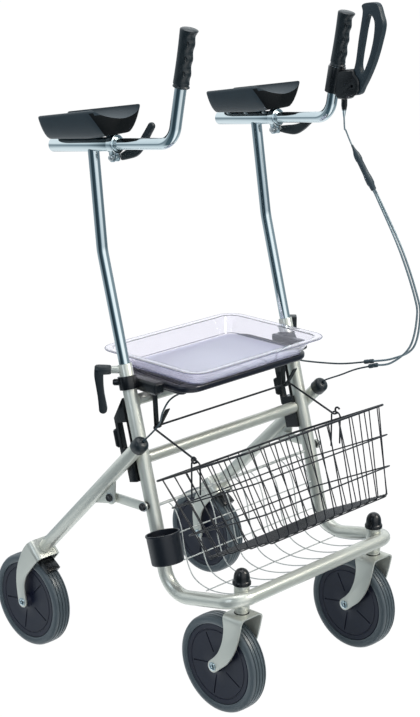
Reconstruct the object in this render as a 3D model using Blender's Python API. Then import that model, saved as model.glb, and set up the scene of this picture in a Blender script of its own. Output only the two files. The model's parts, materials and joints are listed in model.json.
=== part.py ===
"""Folding rollator with forearm rests, modelled as separate pieces at real size.

Metres, +Z up. The user walks towards -Y, so the front casters are at -Y, the forearm pads
point at -Y and the user's left hand is at +X. The origin is on the floor, midway between
the axles. "side" is +1 for the user's left and -1 for the user's right.
"""

import bmesh
import bpy
from math import acos, atan2, ceil, cos, pi, radians, sin, sqrt, tan
from mathutils import Matrix, Vector

# Clearances
SEAT_GAP = 0.0003
RUNNING_GAP = 0.0006

# Wheels
WHEEL_RADIUS = 0.100
TYRE_WIDTH = 0.040
HUB_RADIUS = 0.0795
HUB_WIDTH = 0.036
HUB_BOSS_WIDTH = 0.050
HUB_BOSS_RADIUS = 0.0135
HUB_SPOKE_GROOVES = 5
WHEELBASE = 0.495
LEG_OFFSET = 0.031
AXLE_RADIUS = 0.005
AXLE_HEAD_RADIUS = 0.0085
AXLE_HEAD_HEIGHT = 0.0048

# Front frame, one bent tube
TUBE_RADIUS = 0.014
FRAME_HALF_WIDTH = 0.231
REAR_HALF_TRACK = FRAME_HALF_WIDTH + LEG_OFFSET
UPRIGHT_LEAN = radians(14.85)
UPRIGHT_FOOT_Y = -0.1925
UPRIGHT_TOP_Z = 0.664
LOOP_Z = 0.236
FRONT_BAR_Y = -0.2945
LOWER_BEND = 0.070
FRONT_BEND = 0.055
UPPER_BAR_Z = 0.5925
UPPER_BAR_RADIUS = 0.011
CLAMP_SCREW_Z = 0.653
CLAMP_BOSS_RADIUS = 0.0075
CLAMP_BOSS_REACH = 0.028
CLAMP_SCREW_RADIUS = 0.004

# Levers that clamp the posts and the handles
LEVER_REACH = 0.0605
LEVER_LENGTH = 0.088
CLAMP_FORWARD = 0.059
CLAMP_DROP = 0.024
CLAMP_BOLT_RADIUS = 0.003
CLAMP_LEVER_NEAR = 0.0172
CLAMP_LEVER_PLATE = 0.006
QUICK_LEVER_LENGTH = 0.108
LEVER_TURNS = {1: radians(12.0), -1: radians(30.0)}

# Casters
CASTER_INSET = 0.034
STEM_HALF_SPACING = FRAME_HALF_WIDTH - CASTER_INSET
STEM_Y = -0.296
STEM_RADIUS = 0.006
HEAD_TUBE_RADIUS = 0.0150
HEAD_TUBE_BOTTOM_Z = 0.2214
HEAD_TUBE_TOP_Z = 0.2775
CROWN_TOP_Z = 0.2200
FORK_PLATE = 0.0035
FORK_HALF_GAP = 0.0270
FORK_CROWN_DEPTH = 0.050
CASTER_CAP_RADIUS = 0.0180
CASTER_CAP_HEIGHT = 0.0325

# Posts and forearm rests
POST_RADIUS = 0.011
POST_WALL = 0.0016
POST_BOTTOM_Z = 0.535
POST_BEND_Z = 0.879
POST_BEND = 0.120
POST_BORE_END_Z = 0.425
ARM_INSET = 0.0048
ARM_X = FRAME_HALF_WIDTH - ARM_INSET
ARM_Y = 0.066
ARM_Z = 1.080
ARM_RISE = radians(6.6)
ARM_TOE_IN = radians(2.6)
SLEEVE_RADIUS = 0.0135
SLEEVE_REAR = 0.110
SLEEVE_FRONT = 0.070
HANDLE_RADIUS = 0.011
HANDLE_REAR = 0.090
HANDLE_CORNER = 0.2095
HANDLE_BEND = 0.042
HANDLE_LEAN = radians(10.7)
HANDLE_HEIGHT = 0.209
GRIP_RADIUS = 0.0155
GRIP_LENGTH = 0.108
GRIP_GROOVES = 4
PAD_HALF_WIDTH = 0.045
PAD_TROUGH = 0.021
PAD_UNDERSIDE = SLEEVE_RADIUS + SEAT_GAP

# Brake, measured forwards and up from a point this far below the left handle tube's end
BRAKE_BASE_DROP = 0.209
HOUSING_LOW = 0.052
HOUSING_HIGH = 0.1035
HOUSING_HALF_WIDTH = 0.0125
FERRULE_FORWARD = 0.0381
FERRULE_UP = 0.0329
BRAKE_LEVER_HALF_WIDTH = 0.0070
BRAKE_PIVOT_FORWARD = 0.0666
BRAKE_PIVOT_UP = 0.0679
BRAKE_PIN_RADIUS = 0.003
SHOE_GAP = 0.002
SHOE_HALF_WIDTH = 0.016
SHOE_PIVOT_RADIUS = 0.1165
SHOE_PIVOT_ANGLE = radians(111.0)
SHOE_START = radians(112.0)
SHOE_END = radians(130.0)

# Seat and tray
SEAT_SIDE_SPACE = 0.036
SEAT_HALF_WIDTH = FRAME_HALF_WIDTH - SEAT_SIDE_SPACE
SEAT_FRONT_Y = -0.172
SEAT_REAR_Y = 0.068
SEAT_TOP_Z = 0.6280
SEAT_THICKNESS = 0.024
TRAY_INSET = 0.012
TRAY_HALF_WIDTH = SEAT_HALF_WIDTH - TRAY_INSET
TRAY_DEPTH = 0.262
TRAY_CENTRE_Y = -0.034
TRAY_HEIGHT = 0.0355
TRAY_WALL = 0.0025
TRAY_LIP = 0.004
TRAY_DRAFT = 0.024
COLLAR_BOTTOM_Z = 0.6165
COLLAR_HEIGHT = 0.026
COLLAR_RADIUS = 0.0192

# Fold: carriage, rear legs and links
LEG_FOOT_Y = 0.2035
LEG_FOOT_Z = 0.2288
LEG_SLOPE = radians(45.2)
LEG_LENGTH = 0.4172
LEG_CAP_RADIUS = 0.0165
LEG_PIVOT_UP = 0.3455
LEG_PIN_RADIUS = 0.005
GUSSET_UP = 0.2591
GUSSET_OFF = 0.0293
GUSSET_PLATE = 0.004
LINK_PLATE = 0.004
LINK_HALF_WIDTH = 0.0095
LINK_FOOT_Z = 0.3946
LINK_SPACER = 0.0055
LINK_GUSSET_GAP = 0.0030
LINK_PIN_DEPTH = 0.0028
LINK_CAP_RADIUS = 0.0085
LINK_PIN_RADIUS = 0.004
CARRIAGE_Z = 0.479
CARRIAGE_BACK = 0.0085
CARRIAGE_RADIUS = 0.0123
CARRIAGE_INSET = 0.0203
CARRIAGE_HALF_LENGTH = FRAME_HALF_WIDTH - CARRIAGE_INSET
BLOCK_LOW_Z = 0.440
BLOCK_HIGH_Z = 0.505
STRIP_HIGH_Z = 0.600
STRIP_HALF_WIDTH = 0.006

# Basket, bail, rack and cup
BASKET_TILT = radians(26.1)
BASKET_REAR_Y = -0.070
BASKET_REAR_Z = 0.428
BASKET_TOP = 0.268
BASKET_BOTTOM = 0.134
BASKET_HEIGHT = 0.174
BASKET_SIDE_SPACE = 0.026
BASKET_HALF_WIDTH = FRAME_HALF_WIDTH - BASKET_SIDE_SPACE
BASKET_NARROWING = 0.013
BASKET_FLOOR_HALF_WIDTH = BASKET_HALF_WIDTH - BASKET_NARROWING
BASKET_RIM_WIRE = 0.0024
BASKET_WIRE = 0.0013
BASKET_LONG_WIRES = 13
BASKET_CROSS_WIRES = 7
BAIL_WIRE = 0.0021
BAIL_Y = -0.059
BAIL_Z = 0.537
BAIL_INSET = 0.0055
BAIL_HALF_WIDTH = BASKET_HALF_WIDTH - BAIL_INSET
BAIL_FOOT_Y = -0.183
BAIL_FOOT_Z = 0.4965
LOOP_WIRE = 0.0016
HOOK_INSET = 0.0145
HOOK_X = BAIL_HALF_WIDTH - HOOK_INSET
HOOK_WIDTH = 0.012
HOOK_PLATE = 0.0022
RACK_ROD_Y = -0.087
RACK_ROD_Z = 0.387
RACK_ROD_RADIUS = 0.0035
RACK_WIRE = 0.0016
RACK_WIRES = 9
RACK_SIDE_SPACE = 0.043
RACK_HALF_WIDTH = FRAME_HALF_WIDTH - RACK_SIDE_SPACE
CUP_RADIUS = 0.033
CUP_TAPER = 0.003
CUP_HEIGHT = 0.060
CUP_WALL = 0.0025
CUP_TOP_Z = 0.346
CUP_OUT = 0.0255
CUP_FORWARD = 0.0432

# Cables; the routes were measured on a frame of ROUTE_HALF_WIDTH and keep to the frame's sides
CABLE_RADIUS = 0.0019
CABLE_STEP = 0.020
ROUTE_HALF_WIDTH = 0.231
SPLITTER_TOP = (0.2350, -0.1900, 1.0460)
SPLITTER_END = (0.2600, -0.2250, 0.9620)
CABLE_LEFT_ROUTE = (
    (0.2580, -0.2950, 0.8510), (0.2680, -0.3280, 0.7600), (0.2740, -0.3310, 0.7150),
    (0.2790, -0.3120, 0.6500), (0.2840, -0.2620, 0.6050), (0.2840, -0.2150, 0.5890),
    (0.2825, -0.1700, 0.5720), (0.2760, -0.1350, 0.5540),
)
CABLE_RIGHT_ROUTE = (
    (0.2640, -0.2960, 0.8530), (0.2735, -0.3300, 0.7620), (0.2800, -0.3345, 0.7150),
    (0.2855, -0.3160, 0.6480), (0.2890, -0.2620, 0.6130), (0.2880, -0.2000, 0.5940),
    (0.2780, -0.1400, 0.5790), (0.2580, -0.1000, 0.5770), (0.2340, -0.0700, 0.5800),
    (0.2000, -0.0650, 0.5900), (0.1200, -0.0680, 0.5960), (0.0000, -0.0700, 0.5965),
    (-0.1200, -0.0740, 0.5960), (-0.1720, -0.0830, 0.5940), (-0.2250, -0.1150, 0.5880),
    (-0.2560, -0.1380, 0.5770), (-0.2630, -0.1270, 0.5600),
)

# Counts of facets
TUBE_SIDES = 12
SMALL_SIDES = 12
WIRE_SIDES = 4
WHEEL_SIDES = 24

FINISHES = {
    "champagne_tube": ((0.55, 0.56, 0.52), 0.30, 0.85),
    "chrome": ((0.70, 0.73, 0.76), 0.08, 1.00),
    "black_plastic": ((0.012, 0.014, 0.017), 0.45, 0.0),
    "slate_rubber": ((0.025, 0.040, 0.050), 0.62, 0.0),
    "navy_hub": ((0.014, 0.018, 0.030), 0.50, 0.0),
    "grey_tyre": ((0.13, 0.16, 0.18), 0.80, 0.0),
    "black_wire": ((0.020, 0.022, 0.032), 0.35, 0.2),
    "silver_wire": ((0.60, 0.62, 0.62), 0.25, 0.90),
    "clear_tray": ((0.62, 0.60, 0.76), 0.12, 0.0),
    "steel": ((0.62, 0.64, 0.66), 0.22, 1.00),
}


def clear_scene():
    for old in list(bpy.data.objects):
        bpy.data.objects.remove(old, do_unlink=True)


def material(name):
    colour, roughness, metallic = FINISHES[name]
    found = bpy.data.materials.get(name)
    if found:
        return found
    made = bpy.data.materials.new(name)
    made.use_nodes = True
    shader = made.node_tree.nodes["Principled BSDF"]
    shader.inputs["Base Color"].default_value = (*colour, 1.0)
    shader.inputs["Roughness"].default_value = roughness
    shader.inputs["Metallic"].default_value = metallic
    return made


def joint(name, place, parent=None):
    """An empty on a joint's axis, in world coordinates."""
    empty = bpy.data.objects.new(name, None)
    empty.empty_display_size = 0.02
    bpy.context.collection.objects.link(empty)
    empty["place"] = list(place)
    offset = Vector((0.0, 0.0, 0.0))
    if parent:
        empty.parent = parent
        offset = Vector(parent["place"])
    empty.location = Vector(place) - offset
    return empty


def mesh_object(name, bm):
    bmesh.ops.recalc_face_normals(bm, faces=bm.faces[:])
    mesh = bpy.data.meshes.new(name)
    bm.to_mesh(mesh)
    bm.free()
    made = bpy.data.objects.new(name, mesh)
    bpy.context.collection.objects.link(made)
    return made


def finish(made, finish_name, carrier=None, smooth_angle=35.0):
    """Give a piece its material, its smooth shading and its origin on its carrier's joint."""
    made.data.materials.clear()
    made.data.materials.append(material(finish_name))
    made.data.shade_smooth()
    made.data.set_sharp_from_angle(angle=radians(smooth_angle))
    if carrier:
        made.data.transform(Matrix.Translation(-Vector(carrier["place"])))
        made.parent = carrier
    return made


def boolean(target, tool, operation):
    """Join a tool to a target or cut it away, then drop the tool."""
    change = target.modifiers.new(operation, "BOOLEAN")
    change.operation = operation
    change.solver = "EXACT"
    change.object = tool
    bpy.context.view_layer.objects.active = target
    bpy.ops.object.modifier_apply(modifier=change.name)
    bpy.data.objects.remove(tool, do_unlink=True)
    return target


def join(target, *tools):
    for tool in tools:
        boolean(target, tool, "UNION")
    return target


def cut(target, *tools):
    for tool in tools:
        boolean(target, tool, "DIFFERENCE")
    return target


def bevel_edges(target, width, segments=1):
    soft = target.modifiers.new("soft_edges", "BEVEL")
    soft.width = width
    soft.segments = segments
    soft.limit_method = "ANGLE"
    soft.angle_limit = radians(40.0)
    bpy.context.view_layer.objects.active = target
    bpy.ops.object.modifier_apply(modifier=soft.name)
    return target


def square_axes(direction):
    """Two unit vectors square to a direction; the first lies along X where it can."""
    along = Vector(direction).normalized()
    guide = Vector((1.0, 0.0, 0.0))
    if abs(along.x) > 0.9:
        guide = Vector((0.0, 1.0, 0.0))
    first = (guide - along * guide.dot(along)).normalized()
    return first, along.cross(first)


def ring_points(place, first, second, radius, sides):
    points = []
    for step in range(sides):
        turn = 2.0 * pi * (step + 0.5) / sides
        points.append(place + (first * cos(turn) + second * sin(turn)) * radius)
    return points


def path_frames(path, closed=False):
    """Ring axes carried along a path without twist, widened at the mitres."""
    frames = []
    count = len(path)
    first = None
    for index, place in enumerate(path):
        before = path[index - 1] if index or closed else None
        after = path[(index + 1) % count] if index + 1 < count or closed else None
        incoming = (place - before).normalized() if before is not None else None
        outgoing = (after - place).normalized() if after is not None else None
        tangent = outgoing if incoming is None else incoming
        if incoming is not None and outgoing is not None:
            tangent = (incoming + outgoing).normalized()
        if first is None:
            first = square_axes(tangent)[0]
        first = (first - tangent * first.dot(tangent)).normalized()
        frames.append((place, first, tangent.cross(first)))
    return frames


def skin(bm, rings, closed_path=False):
    """Quads between successive rings of vertices."""
    pairs = list(zip(rings, rings[1:]))
    if closed_path:
        pairs.append((rings[-1], rings[0]))
    for low, high in pairs:
        sides = len(low)
        for step in range(sides):
            after = (step + 1) % sides
            bm.faces.new((low[step], low[after], high[after], high[step]))


def add_tube(bm, path, radius, sides=TUBE_SIDES, bore=0.0, closed=False):
    """A round bar along a path, or a pipe where it has a bore."""
    frames = path_frames(path, closed)

    def rings_of(size):
        made = []
        for place, first, second in frames:
            made.append([bm.verts.new(p) for p in ring_points(place, first, second, size, sides)])
        return made

    outer = rings_of(radius)
    skin(bm, outer, closed)
    if bore:
        inner = rings_of(bore)
        skin(bm, inner, closed)
        for out_end, in_end in ((outer[0], inner[0]), (outer[-1], inner[-1])):
            for step in range(sides):
                after = (step + 1) % sides
                bm.faces.new((out_end[step], out_end[after], in_end[after], in_end[step]))
    elif not closed:
        bm.faces.new(outer[0])
        bm.faces.new(outer[-1])


def tube(name, path, radius, sides=TUBE_SIDES, bore=0.0, closed=False):
    bm = bmesh.new()
    add_tube(bm, [Vector(point) for point in path], radius, sides, bore, closed)
    return mesh_object(name, bm)


def turned(name, profile, origin, axis, sides=SMALL_SIDES, closed=False):
    """A turned solid: profile points are (radius, distance along the axis)."""
    bm = bmesh.new()
    along = Vector(axis).normalized()
    first, second = square_axes(along)
    rings = []
    for radius, reach in profile:
        centre = Vector(origin) + along * reach
        if radius == 0.0:
            rings.append([bm.verts.new(centre)])
        else:
            rings.append([bm.verts.new(p) for p in ring_points(centre, first, second, radius, sides)])
    pairs = list(zip(rings, rings[1:]))
    if closed:
        pairs.append((rings[-1], rings[0]))
    for low, high in pairs:
        for step in range(sides):
            after = (step + 1) % sides
            if len(low) == 1:
                bm.faces.new((low[0], high[after], high[step]))
            elif len(high) == 1:
                bm.faces.new((low[step], low[after], high[0]))
            else:
                bm.faces.new((low[step], low[after], high[after], high[step]))
    if not closed and len(rings[0]) > 1:
        bm.faces.new(rings[0])
    if not closed and len(rings[-1]) > 1:
        bm.faces.new(rings[-1])
    return mesh_object(name, bm)


def plate(name, outline, origin, across, up, thickness):
    """An outline of (across, up) points, extruded square to itself."""
    bm = bmesh.new()
    across = Vector(across).normalized()
    up = Vector(up).normalized()
    base = [bm.verts.new(Vector(origin) + across * a + up * b) for a, b in outline]
    face = bm.faces.new(base)
    grown = bmesh.ops.extrude_face_region(bm, geom=[face])
    moved = [item for item in grown["geom"] if isinstance(item, bmesh.types.BMVert)]
    bmesh.ops.translate(bm, verts=moved, vec=across.cross(up) * thickness)
    return mesh_object(name, bm)


def block(name, low, high):
    """A box between two corners."""
    outline = ((low[0], low[1]), (high[0], low[1]), (high[0], high[1]), (low[0], high[1]))
    return plate(name, outline, (0.0, 0.0, low[2]), (1, 0, 0), (0, 1, 0), high[2] - low[2])


def arc(centre, radius, start, end, steps):
    """Points on a flat arc, from start to end in radians."""
    points = []
    for step in range(steps + 1):
        turn = start + (end - start) * step / steps
        points.append((centre[0] + radius * cos(turn), centre[1] + radius * sin(turn)))
    return points


def rounded_rectangle(half_a, half_b, radius, steps=3, centre=(0.0, 0.0)):
    points = []
    for quarter, (sign_a, sign_b) in enumerate(((1, 1), (-1, 1), (-1, -1), (1, -1))):
        corner = (centre[0] + sign_a * (half_a - radius), centre[1] + sign_b * (half_b - radius))
        points += arc(corner, radius, quarter * pi / 2, (quarter + 1) * pi / 2, steps)
    return points


def rounded_path(corners, radii, step_angle=radians(16.0)):
    """A path with its inner corners rounded to arcs."""
    corners = [Vector(corner) for corner in corners]
    path = [corners[0]]
    for index, radius in enumerate(radii, start=1):
        corner = corners[index]
        towards = (corners[index - 1] - corner).normalized()
        away = (corners[index + 1] - corner).normalized()
        opening = acos(max(-1.0, min(1.0, towards.dot(away))))
        turn = pi - opening
        reach = radius * tan(turn / 2)
        bisector = (towards + away).normalized()
        centre = corner + bisector * (radius / cos(turn / 2))
        start = corner + towards * reach - centre
        axis = start.cross(corner + away * reach - centre).normalized()
        steps = max(1, ceil(turn / step_angle))
        for step in range(steps + 1):
            path.append(centre + Matrix.Rotation(turn * step / steps, 3, axis) @ start)
    path.append(corners[-1])
    return path


def smooth_path(points, step):
    """A smooth curve through hand-placed points, read off about every step."""
    points = [Vector(point) for point in points]
    ends = [points[0] * 2 - points[1]] + points + [points[-1] * 2 - points[-2]]
    dense = []
    for a, b, c, d in zip(ends, ends[1:], ends[2:], ends[3:]):
        for part in range(24):
            t = part / 24
            dense.append(0.5 * (2 * b + (c - a) * t + (2 * a - 5 * b + 4 * c - d) * t * t
                                + (3 * b - a - 3 * c + d) * t ** 3))
    dense.append(points[-1])
    length = sum((q - p).length for p, q in zip(dense, dense[1:]))
    count = max(2, round(length / step))
    path = [dense[0]]
    travelled = 0.0
    for p, q in zip(dense, dense[1:]):
        travelled += (q - p).length
        if travelled >= length * len(path) / count and len(path) < count:
            path.append(q)
    path.append(dense[-1])
    return path


def ribbon(centre_line, widths, tip_steps=6):
    """The outline of a flat arm along a centre line, square at its start, round at its tip."""
    line = [Vector((a, b, 0.0)) for a, b in centre_line]
    left = []
    right = []
    for index, point in enumerate(line):
        before = line[max(index - 1, 0)]
        after = line[min(index + 1, len(line) - 1)]
        along = (after - before).normalized()
        square = Vector((-along.y, along.x, 0.0))
        left.append(point + square * widths[index] / 2)
        right.append(point - square * widths[index] / 2)
    tip = line[-1]
    start = atan2(left[-1].y - tip.y, left[-1].x - tip.x)
    round_tip = arc((tip.x, tip.y), widths[-1] / 2, start, start - pi, tip_steps)
    outline = [(p.x, p.y) for p in left[:-1]] + round_tip + [(p.x, p.y) for p in reversed(right[:-1])]
    return outline


def upright(side, height, back=0.0):
    """A point on an upright's axis at a height, moved back square to the upright."""
    on_axis = Vector((side * FRAME_HALF_WIDTH, UPRIGHT_FOOT_Y + tan(UPRIGHT_LEAN) * height, height))
    return on_axis + UPRIGHT_BACK * back


UPRIGHT_UP = Vector((0.0, sin(UPRIGHT_LEAN), cos(UPRIGHT_LEAN)))
UPRIGHT_BACK = Vector((0.0, cos(UPRIGHT_LEAN), -sin(UPRIGHT_LEAN)))
LEG_DOWN = Vector((0.0, cos(LEG_SLOPE), -sin(LEG_SLOPE)))
LEG_UNDER = Vector((0.0, -sin(LEG_SLOPE), -cos(LEG_SLOPE)))
AXLE_FRONT_Y = -WHEELBASE / 2
AXLE_REAR_Y = WHEELBASE / 2
FRAME_BORE = POST_RADIUS + SEAT_GAP
LINK_INNER_X = FRAME_HALF_WIDTH + TUBE_RADIUS + LINK_SPACER
GUSSET_INNER_X = LINK_INNER_X + LINK_PLATE + LINK_GUSSET_GAP
SIDE_NAMES = {1: "left", -1: "right"}


def diagonal(side):
    """The way a post clamp's screw points: outwards and back."""
    return Vector((side * sqrt(0.5), sqrt(0.5), 0.0))


def leg_point(side, up=0.0, under=0.0):
    """A point measured up a rear leg's axis from its foot and square below it."""
    foot = Vector((side * REAR_HALF_TRACK, LEG_FOOT_Y, LEG_FOOT_Z))
    return foot - LEG_DOWN * up + LEG_UNDER * under


def arm_axes(side):
    forward = Vector((-side * sin(ARM_TOE_IN) * cos(ARM_RISE), -cos(ARM_TOE_IN) * cos(ARM_RISE),
                      sin(ARM_RISE)))
    across = Vector((cos(ARM_TOE_IN), -side * sin(ARM_TOE_IN), 0.0))
    return forward, across, forward.cross(across)


def arm_point(side, forward=0.0, across=0.0, up=0.0):
    """A point in a forearm rest's own frame, measured from the sleeve's axis over the post."""
    way, beside, above = arm_axes(side)
    return Vector((side * ARM_X, ARM_Y, ARM_Z)) + way * forward + beside * across + above * up


def handle_up(side):
    """The way a handle's upper part rises."""
    way = arm_axes(side)[0]
    level = Vector((way.x, way.y, 0.0)).normalized()
    return (level * sin(HANDLE_LEAN) + Vector((0.0, 0.0, cos(HANDLE_LEAN)))).normalized()


def handle_corner(side):
    return arm_point(side, HANDLE_CORNER)


def side_plate(name, outline, x_low, thickness):
    """A flat piece standing fore and aft: outline points are (y, z)."""
    return plate(name, outline, (x_low, 0.0, 0.0), (0, 1, 0), (0, 0, 1), thickness)


def between(side, near, far):
    """The lower X and the width of a span given as distances outwards from the middle."""
    return (near if side > 0 else -far), far - near


def stadium(start, end, radius, steps=5):
    """A flat bar with round ends between two points."""
    turn = atan2(end[1] - start[1], end[0] - start[0])
    return (arc(end, radius, turn - pi / 2, turn + pi / 2, steps)
            + arc(start, radius, turn + pi / 2, turn + 3 * pi / 2, steps))


def cross_pin(name, place, half_length, radius, sides=SMALL_SIDES):
    """A round bar across the object, centred on a place."""
    reach = Vector((half_length, 0.0, 0.0))
    return tube(name, (Vector(place) - reach, Vector(place) + reach), radius, sides)


def front_frame():
    """One tube bent from post socket to post socket, with crossbar, head tubes and bosses."""
    corners = [upright(1, UPRIGHT_TOP_Z), upright(1, LOOP_Z), (FRAME_HALF_WIDTH, FRONT_BAR_Y, LOOP_Z),
               (-FRAME_HALF_WIDTH, FRONT_BAR_Y, LOOP_Z), upright(-1, LOOP_Z), upright(-1, UPRIGHT_TOP_Z)]
    path = rounded_path(corners, (LOWER_BEND, FRONT_BEND, FRONT_BEND, LOWER_BEND))
    frame = tube("front_frame", path, TUBE_RADIUS)
    join(frame, tube("crossbar", (upright(-1, UPPER_BAR_Z), upright(1, UPPER_BAR_Z)), UPPER_BAR_RADIUS,
                     SMALL_SIDES))
    for side in (1, -1):
        head = Vector((side * STEM_HALF_SPACING, STEM_Y, 0.0))
        join(frame, turned("head_tube", ((HEAD_TUBE_RADIUS, HEAD_TUBE_BOTTOM_Z),
                                         (HEAD_TUBE_RADIUS, HEAD_TUBE_TOP_Z)), head, (0, 0, 1), TUBE_SIDES))
        screw = upright(side, CLAMP_SCREW_Z)
        join(frame, turned("boss", ((CLAMP_BOSS_RADIUS, 0.0), (CLAMP_BOSS_RADIUS, CLAMP_BOSS_REACH)),
                           screw, diagonal(side)))
        cut(frame, tube("post_bore", (upright(side, POST_BORE_END_Z), upright(side, UPRIGHT_TOP_Z + 0.02)),
                        FRAME_BORE))
        cut(frame, turned("screw_bore", ((CLAMP_SCREW_RADIUS + SEAT_GAP, 0.0),
                                         (CLAMP_SCREW_RADIUS + SEAT_GAP, CLAMP_BOSS_REACH + 0.01)),
                          screw, diagonal(side)))
        stem_bore = STEM_RADIUS + RUNNING_GAP
        cut(frame, turned("stem_bore", ((stem_bore, HEAD_TUBE_BOTTOM_Z - 0.01),
                                        (stem_bore, HEAD_TUBE_TOP_Z + 0.01)), head, (0, 0, 1)))
        pin_seat = upright(side, LINK_FOOT_Z) + Vector((side * LINK_PIN_DEPTH, 0.0, 0.0))
        cut(frame, turned("pin_bore", ((LINK_PIN_RADIUS + SEAT_GAP, -SEAT_GAP),
                                       (LINK_PIN_RADIUS + SEAT_GAP, 0.02)), pin_seat, (side, 0, 0)))
    return finish(frame, "champagne_tube")


def rack_line(x):
    """The lengthwise rack wire at an x, in (y, z): down from the rod, then level to the front bar."""
    inner_bend = FRONT_BEND - TUBE_RADIUS
    past_bend = max(0.0, abs(x) + RACK_WIRE - (FRAME_HALF_WIDTH - FRONT_BEND))
    bar_back = FRONT_BAR_Y + TUBE_RADIUS + inner_bend - sqrt(inner_bend ** 2 - past_bend ** 2)
    return ((RACK_ROD_Y - RACK_ROD_RADIUS + 0.001, RACK_ROD_Z - 0.001), (-0.113, 0.372), (-0.127, 0.337),
            (-0.137, 0.287), (-0.160, 0.244), (-0.200, 0.230), (bar_back + SEAT_GAP, LOOP_Z - 0.004))


def lower_rack():
    """A rod between the uprights carrying a row of bent wires tied by cross wires."""
    rod_end = FRAME_HALF_WIDTH - TUBE_RADIUS - SEAT_GAP
    rack = cross_pin("lower_rack", (0.0, RACK_ROD_Y, RACK_ROD_Z), rod_end, RACK_ROD_RADIUS, 8)
    wires = bmesh.new()
    for index in range(RACK_WIRES):
        x = -RACK_HALF_WIDTH + 2 * RACK_HALF_WIDTH * index / (RACK_WIRES - 1)
        corners = [(x, y, z) for y, z in rack_line(x)]
        add_tube(wires, [Vector(corner) for corner in corners], RACK_WIRE, WIRE_SIDES)
    join(rack, mesh_object("rack_wires", wires))
    ties = bmesh.new()
    for y, z in ((-0.1275, 0.3350), (-0.1390, 0.2800), (-0.2000, 0.2300)):
        half = Vector((RACK_HALF_WIDTH + 0.006, 0.0, 0.0))
        centre = Vector((0.0, y - RACK_WIRE, z - RACK_WIRE))
        add_tube(ties, [centre - half, centre + half], RACK_WIRE, WIRE_SIDES)
    join(rack, mesh_object("rack_ties", ties))
    return finish(rack, "silver_wire")


def cup_holder():
    """A round cup clipped to the right upright, leaning with it."""
    rim = Vector((-FRAME_HALF_WIDTH - CUP_OUT, 0.0, 0.0))
    rim += Vector((0.0, upright(-1, CUP_TOP_Z).y, CUP_TOP_Z)) - UPRIGHT_BACK * CUP_FORWARD
    floor = -CUP_HEIGHT + CUP_WALL
    profile = ((0.0, -CUP_HEIGHT), (CUP_RADIUS - CUP_TAPER, -CUP_HEIGHT), (CUP_RADIUS, 0.0),
               (CUP_RADIUS - CUP_WALL, 0.0), (CUP_RADIUS - CUP_TAPER - CUP_WALL, floor), (0.0, floor))
    cup = turned("cup_holder", profile, rim, UPRIGHT_UP, 20)
    clip_top = upright(-1, CUP_TOP_Z - 0.012)
    clip_low = clip_top - UPRIGHT_UP * 0.034
    clip = tube("clip", (clip_low, clip_top), TUBE_RADIUS + 0.0032)
    web_top = clip_top + (rim - upright(-1, CUP_TOP_Z)) * 0.40 - UPRIGHT_UP * 0.002
    web = tube("web", (web_top - UPRIGHT_UP * 0.030, web_top), 0.007, 8)
    join(clip, web)
    hollow = tube("hollow", (rim - UPRIGHT_UP * (CUP_HEIGHT + 0.01), rim + UPRIGHT_UP * 0.01),
                  CUP_RADIUS - CUP_TAPER - CUP_WALL / 2, 20)
    cut(clip, hollow)
    join(cup, clip)
    cut(cup, tube("tube_way", (clip_low - UPRIGHT_UP * 0.01, clip_top + UPRIGHT_UP * 0.01),
                  TUBE_RADIUS + SEAT_GAP))
    return finish(cup, "black_plastic")


def seat_bracket(side):
    """A collar on the upright, open at the back for the guide strip, with an arm to the seat."""
    name = "seat_bracket_" + SIDE_NAMES[side]
    low = upright(side, COLLAR_BOTTOM_Z)
    high = low + UPRIGHT_UP * COLLAR_HEIGHT
    bracket = tube(name, (low, high), COLLAR_RADIUS)
    arm_low, arm_width = between(side, SEAT_HALF_WIDTH + SEAT_GAP, FRAME_HALF_WIDTH - 0.010)
    arm = block("arm", (arm_low, low.y - 0.062, COLLAR_BOTTOM_Z - 0.004),
                (arm_low + arm_width, low.y + 0.020, COLLAR_BOTTOM_Z + 0.020))
    join(bracket, bevel_edges(arm, 0.004))
    boss = (low + high) / 2
    join(bracket, turned("boss", ((0.0065, 0.0), (0.0065, 0.027), (0.0045, 0.030)), boss, diagonal(side)))
    cut(bracket, tube("tube_way", (low - UPRIGHT_UP * 0.01, high + UPRIGHT_UP * 0.01),
                      TUBE_RADIUS + SEAT_GAP))
    slot_half = STRIP_HALF_WIDTH + RUNNING_GAP
    slot = upright_plate("slot", side, ((0.010, 0.10), (0.030, 0.10), (0.030, 0.20), (0.010, 0.20)),
                         FRAME_HALF_WIDTH - slot_half, FRAME_HALF_WIDTH + slot_half)
    cut(bracket, slot)
    return finish(bracket, "black_plastic")


def hook_line():
    """A hanging hook in (y, z): down in front of the crossbar, round the bail, up in front."""
    turn = BAIL_WIRE + RUNNING_GAP + HOOK_PLATE / 2
    start = atan2(UPRIGHT_BACK.z, UPRIGHT_BACK.y)
    bend = arc((BAIL_Y, BAIL_Z), turn, start, start - radians(165), 6)
    top_z = SEAT_TOP_Z - SEAT_THICKNESS + 0.002
    return [(bend[0][0] + 0.0045, top_z)] + bend + [(BAIL_Y - 0.028, BAIL_Z + 0.040)]


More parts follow.
